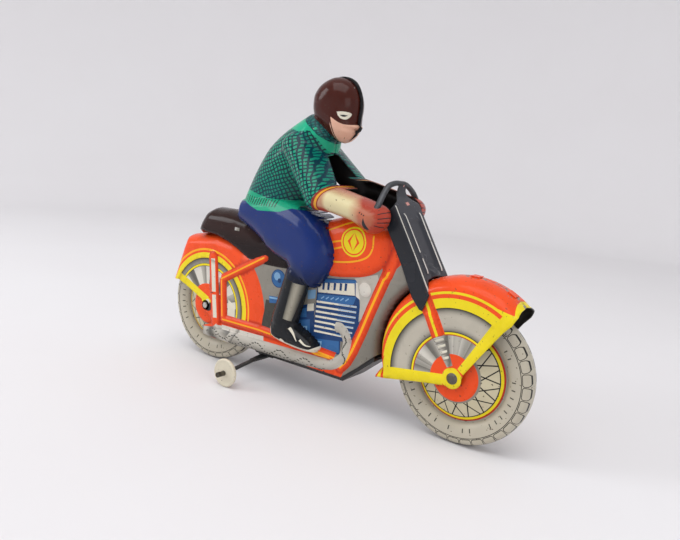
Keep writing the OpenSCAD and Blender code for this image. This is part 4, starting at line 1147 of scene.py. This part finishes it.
torso = curve([(-53.8, 76), (-53.5, 80), (-51.5, 86), (-47.5, 95), (-43, 103.5), (-37.3, 112), (-30, 118.5),
               (-22.5, 123.5), (-15.5, 127.5)], 3) + [(-9, 128), (-3, 120)] + curve(
    [(-2.5, 117.5), (-3.5, 114.9), (-4.1, 110.5), (-6.9, 105), (-10.3, 100.6), (-13.5, 95), (-15, 89),
     (-13.1, 85.5)], 2) + [(-12, 78), (-30, 72), (-47, 72)]
head = curve([(-10, 121), (-13.2, 124.5), (-14.8, 128), (-15.2, 131.5), (-14.6, 136), (-11.5, 140.3),
              (-7, 142.8), (-3, 143.3), (1.5, 142), (5, 139), (7, 135), (7.6, 131), (7.3, 127), (7.2, 124)], 3)
head += [(8.3, 122.8), (7.6, 121.6), (6.4, 121), (6.5, 119.8), (5.2, 118.2), (3.5, 116.4), (1.2, 115.4),
         (-1.4, 115.8), (-4, 116.8), (-6.5, 118.5)]
seams = [torso[:25], head + head[:1], torso[26:44]]
# limbs: place, radius, outermost and innermost distance from the seam plane
thigh = curve([(-53.8, 80), (-53, 74.5), (-47, 72), (-38.6, 69.8), (-30.8, 66.8), (-22.3, 62.9), (-15, 60.4),
               (-12.6, 56.6), (-9, 54), (-4, 52.6), (1.5, 51.8), (4.5, 56), (8, 61), (9.8, 65.5), (9.2, 70.5),
               (6.8, 75.5), (3, 80), (-1.6, 83.2), (-8, 85.5), (-14, 87), (-26, 88.6), (-40, 90), (-52, 86)], 2)
# the left thigh lies lower towards the knee
low_thigh = [(x, z - 7.5 * min(1, max(0, (x + 35) / 20)) * min(1, max(0, (z - 66) / 12)))
             for x, z in thigh]
leg_parts = [[(-8.4, 56, 6.6, 18.6, 11.4), (-14.4, 34, 7.2, 18, 11.2)]]
foot = curve([(-21.6, 34), (-21.8, 29.6), (-20, 25), (-12, 23), (1.2, 22.3), (5.6, 24.2),
              (3.6, 27.9), (-1.4, 30.8), (-6.6, 33.2), (-8.6, 38)], 3)


def arm_parts(lift):
    elbow = (1, 92.5 + 0.8 * lift, 6.3, 22.6, 11.5)
    cuff = (10, 91.3 + 0.9 * lift, 5.3, 22.6, 12)
    wrist = (22, 89 + 0.85 * lift, 5.1, 22.4, 12.5)
    return [[(-17, 112.5, 7.6, 17.6, 4), elbow], [elbow, cuff], [cuff, wrist],
            [wrist, (30, 86.1 + lift, 5.8, 23, 12.5)]]


def limb_outline(part):
    points = [Vector(p) for x, z, r, _, _ in part for p in disc((x, z), r * 0.995)]
    return [tuple(points[i]) for i in geometry.convex_hull_2d(points)]


def limb_height(points, part):
    (ax, az, ar, a_out, a_in), (bx, bz, br, b_out, b_in) = part
    way = np.array((bx - ax, bz - az))
    t = np.clip((points - (ax, az)) @ way / (way @ way), 0, 1)
    gap = np.linalg.norm(points - (ax, az) - t[:, None] * way, axis=1)
    side = (way[1] * (points[:, 0] - ax) - way[0] * (points[:, 1] - az)) / np.linalg.norm(way)
    fold = np.where(az > 80, np.clip(side / ar, -1, 1) * (5.5 if az > 100 else 2.5), 0)
    inner, outer = a_in + (b_in - a_in) * t + fold, a_out + (b_out - a_out) * t
    inner = np.maximum(inner, 0.3)
    rise = inner + (outer - inner) * half_round(gap, ar + (br - ar) * t)
    return np.where(within(points, limb_outline(part)) | (gap < ar + (br - ar) * t), rise, 0)


def rider_height(lift, upper_leg):
    def height(points):
        rise = 12.6 * roll(depth_in(points, torso), 13)
        rise = np.maximum(rise, 9.8 * roll(depth_in(points, head), 9.5))
        forward = np.clip((points[:, 0] + 46) / 50, 0, 1)
        inner = 12.3 * np.clip((points[:, 0] + 50) / 22, 0, 1)
        puffed = inner + (13.4 + 7.1 * forward - inner) * roll(depth_in(points, upper_leg), 9.5)
        rise = np.where(within(points, upper_leg), np.maximum(rise, puffed), rise)
        for part in leg_parts + arm_parts(lift):
            rise = np.maximum(rise, limb_height(points, part))
        toe = 11 + 6.5 * roll(depth_in(points, foot), 5)
        return np.maximum(np.where(within(points, foot), np.maximum(rise, toe), rise), 0.05)
    return height


def rider_prints(lift):
    def lifted(loop, share=1.0):
        return [(x, z + lift * share) for x, z in loop]

    prints = [("jumper", [(-80, 0), (60, 0), (60, 150), (-80, 150)]),
              ("yoke", [(-32, 116.4), (-23, 120.1), (-16, 118.7), (-10.5, 119.6), (-7, 116), (-4.3, 111),
                        (0, 111), (0, 122), (-16, 130), (-34, 121)]),
              ("hem", [(-56, 89), (-49.8, 90.9), (-41.6, 90.3), (-30.1, 88), (-11.3, 88.4), (-10, 84),
                       (-20, 80), (-56, 80)]),
              ("trousers", [(-54, 84.2), (-51.3, 84.7), (-45.6, 85.2), (-33.8, 82), (-19.4, 83.1),
                            (-13.1, 85.3), (0, 84.9), (20, 80), (20, 40), (-70, 40), (-70, 84)]),
              ("boot", [(-16, 58), (-13, 56.8), (-9, 54.3), (-4, 52.6), (4, 51.4), (12, 34), (12, 20), (-25, 20),
                        (-25, 50)]),
              # painted highlights on the boot: a shine down the shin, a spot on the heel and two cream strokes over
              # the instep
              ("shine", band([(-5.2, 53), (-7.8, 43), (-10, 35.6)], 5, 3.4)),
              ("shine", disc((-18, 31), 1.2)),
              ("cream", band(curve([(-8.6, 32.2), (-5.4, 29.6), (-3.2, 27.4)]), 1.1, 0.3)),
              ("cream", band(curve([(-2, 28.2), (1, 26.6), (3.4, 26.2)]), 0.9, 0.3)),
              ("cream", band(curve([(-21, 30), (-19.2, 25.4), (-10.5, 23.5), (2.1, 23), (7, 25.2)]), 3.4)),
              ("cream", disc((-12.3, 24.7), 1.7)),
              *[("boot", band([(x, z0), (x + 0.5, z0 + 3.3)], 0.55)) for x, z0 in
                ((-51 + 1.75 * i, 85.9 - 0.2 * min(i, 8) + 0.04 * max(0, i - 8)) for i in range(17))],
]
    cuff = lifted([(7, 98.5), (-0.6, 85.2), (60, 70), (60, 100)], 0.6)
    prints += [("cuff", cuff),
               ("gold", lifted([(8.2, 98.5), (0.9, 85.2), (2.4, 85.2), (9.4, 98.5)], 0.6)),
               ("glove", lifted([(9.9, 98.5), (3, 85), (10, 70), (60, 70), (60, 100)], 0.6))]
    prints += [("dark", lifted(curve([(29.3, 86.9), (28.5, 83.9), (29.6, 82.3), (31.1, 82.4), (30.3, 84.6)], 3)))]
    prints += [("dark", lifted(band(line, 0.35))) for line in (
        [(35.1, 89.7), (33.4, 88.6)], [(36, 87.5), (34, 86.8)], [(34.9, 83.4), (33.2, 84.2)],
        [(35.8, 85.4), (34, 85.4)])]
    prints += [("dark", lifted(disc((27 + 1.1 * i, 88.6 - 0.4 * i), 0.3), 0.9)) for i in range(3)]
    neckline = curve([(-15.5, 126.2), (-10.6, 123), (-6, 119.2), (-2.4, 116.2), (0.6, 112.4)], 4)
    prints += [("helmet", head), ("collar", band(neckline, 3.4)),
               ("yoke", disc((-8.6, 120.6), 0.6)),
               ("flesh", curve([(-0.6, 125.9), (2, 124.2), (4.5, 123.2), (7.2, 123.3), (9, 124.6)], 3)
                + [(10, 122), (10, 112), (0.4, 114), (-0.2, 116.5), (-0.5, 120.4), (-1, 122.5)]),
               ("helmet", band(curve([(-1, 125.6), (0.1, 120.5), (0.5, 115)]), 0.6)),
               ("cream", curve([(1.8, 128.1), (4, 128.4), (6.3, 128), (6.1, 126.4), (5, 125.2),
                                (3.4, 125.5), (2.3, 126.7)], 3)),
               ("dark", [(2.9, 126.9), (3.9, 126.3), (4.6, 126.2), (5.6, 126.9), (4.4, 127.1)])]
    return prints


def rider_shade(lift):
    centre = [(x, z) for part in arm_parts(lift) for x, z, *_ in part]

    def shade(points, names):
        value = np.zeros(len(points))
        arm = away(points, centre)
        # jumper: painted shade, darker towards the bottom and towards the edges of the sleeve
        value = np.where(names == "jumper", np.clip((104 - points[:, 1]) / 40, 0, 0.6) * (arm > 7), value)
        value = np.where((names == "jumper") & (arm < 7.4), np.clip(arm / 7 - 0.45, 0, 1) * 0.9, value)
        red = np.clip((arm - 3) / 2.6, 0, 1) + np.clip((points[:, 0] - 21) / 7, 0, 0.85)
        red += np.clip((9.5 - points[:, 0]) / 3, 0, 0.6)
        value = np.where(names == "glove", np.clip(red, 0, 1), value)
        # trousers: painted shade, darker towards the bottom and along the underside of the thigh
        value = np.where(names == "trousers", np.clip((64 - points[:, 1]) / 14, 0, 0.6)
                         + 0.5 * np.clip(1 - away(points, [(-53, 75), (-38, 70), (-15, 61), (-4, 52.6)]) / 6, 0, 1),
                         value)
        shine = np.abs(away(points, [(-5.2, 53), (-10, 35.6)]))
        return np.where(names == "shine", np.clip(shine / 2.2, 0, 1) ** 1.5, value)
    return shade


def rider_wear(points, names):
    edge = np.min([away(points, list(path)) for path in seams], axis=0)
    hand = np.linalg.norm(points - np.array((30, 86)), axis=1)
    return 0.6 * np.clip(1 - edge / 0.9, 0, 1) + 0.35 * np.clip(1 - hand / 7, 0, 1)


for side, mirrored, lift, upper_leg in (("right", False, 0.0, thigh), ("left", True, 3.7, low_thigh)):
    limbs = [limb_outline(part) for part in leg_parts + arm_parts(lift)]
    sheet = cut_sheet([torso, head, foot, upper_leg] + limbs, rider_prints(lift), 1.0, *seams,
                      *[loop + loop[:1] for loop in limbs], upper_leg + upper_leg[:1])
    half = pressed(f"rider_{side}_half", sheet, rider_height(lift, upper_leg), inks, black_back,
                   shade=rider_shade(lift), wear=rider_wear, mirrored=mirrored)
    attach(half, "frame")
    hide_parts(f"rider_{side}")

# a narrow black seam strip down the front of the head, tapered at both ends
STRIP_WIDTH = 1.5
flange_path = head[19:46]
last = len(flange_path) - 1
flange_width = [STRIP_WIDTH * min(1, i / 7, (last - i) / 3) + 0.02 for i in range(last + 1)]
flange_loop = flange_path + [tuple(Vector(p) + (Vector(p) - Vector((-3, 128))).normalized() * w)
                             for p, w in zip(flange_path[::-1], flange_width[::-1])]
flange = pressed("rider_face_flange", cut_sheet([flange_loop], [("dark", flange_loop)], 0.7),
                 lambda points: np.full(len(points), 0.12), inks, black_back, thickness=0.25)
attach(flange, "frame")
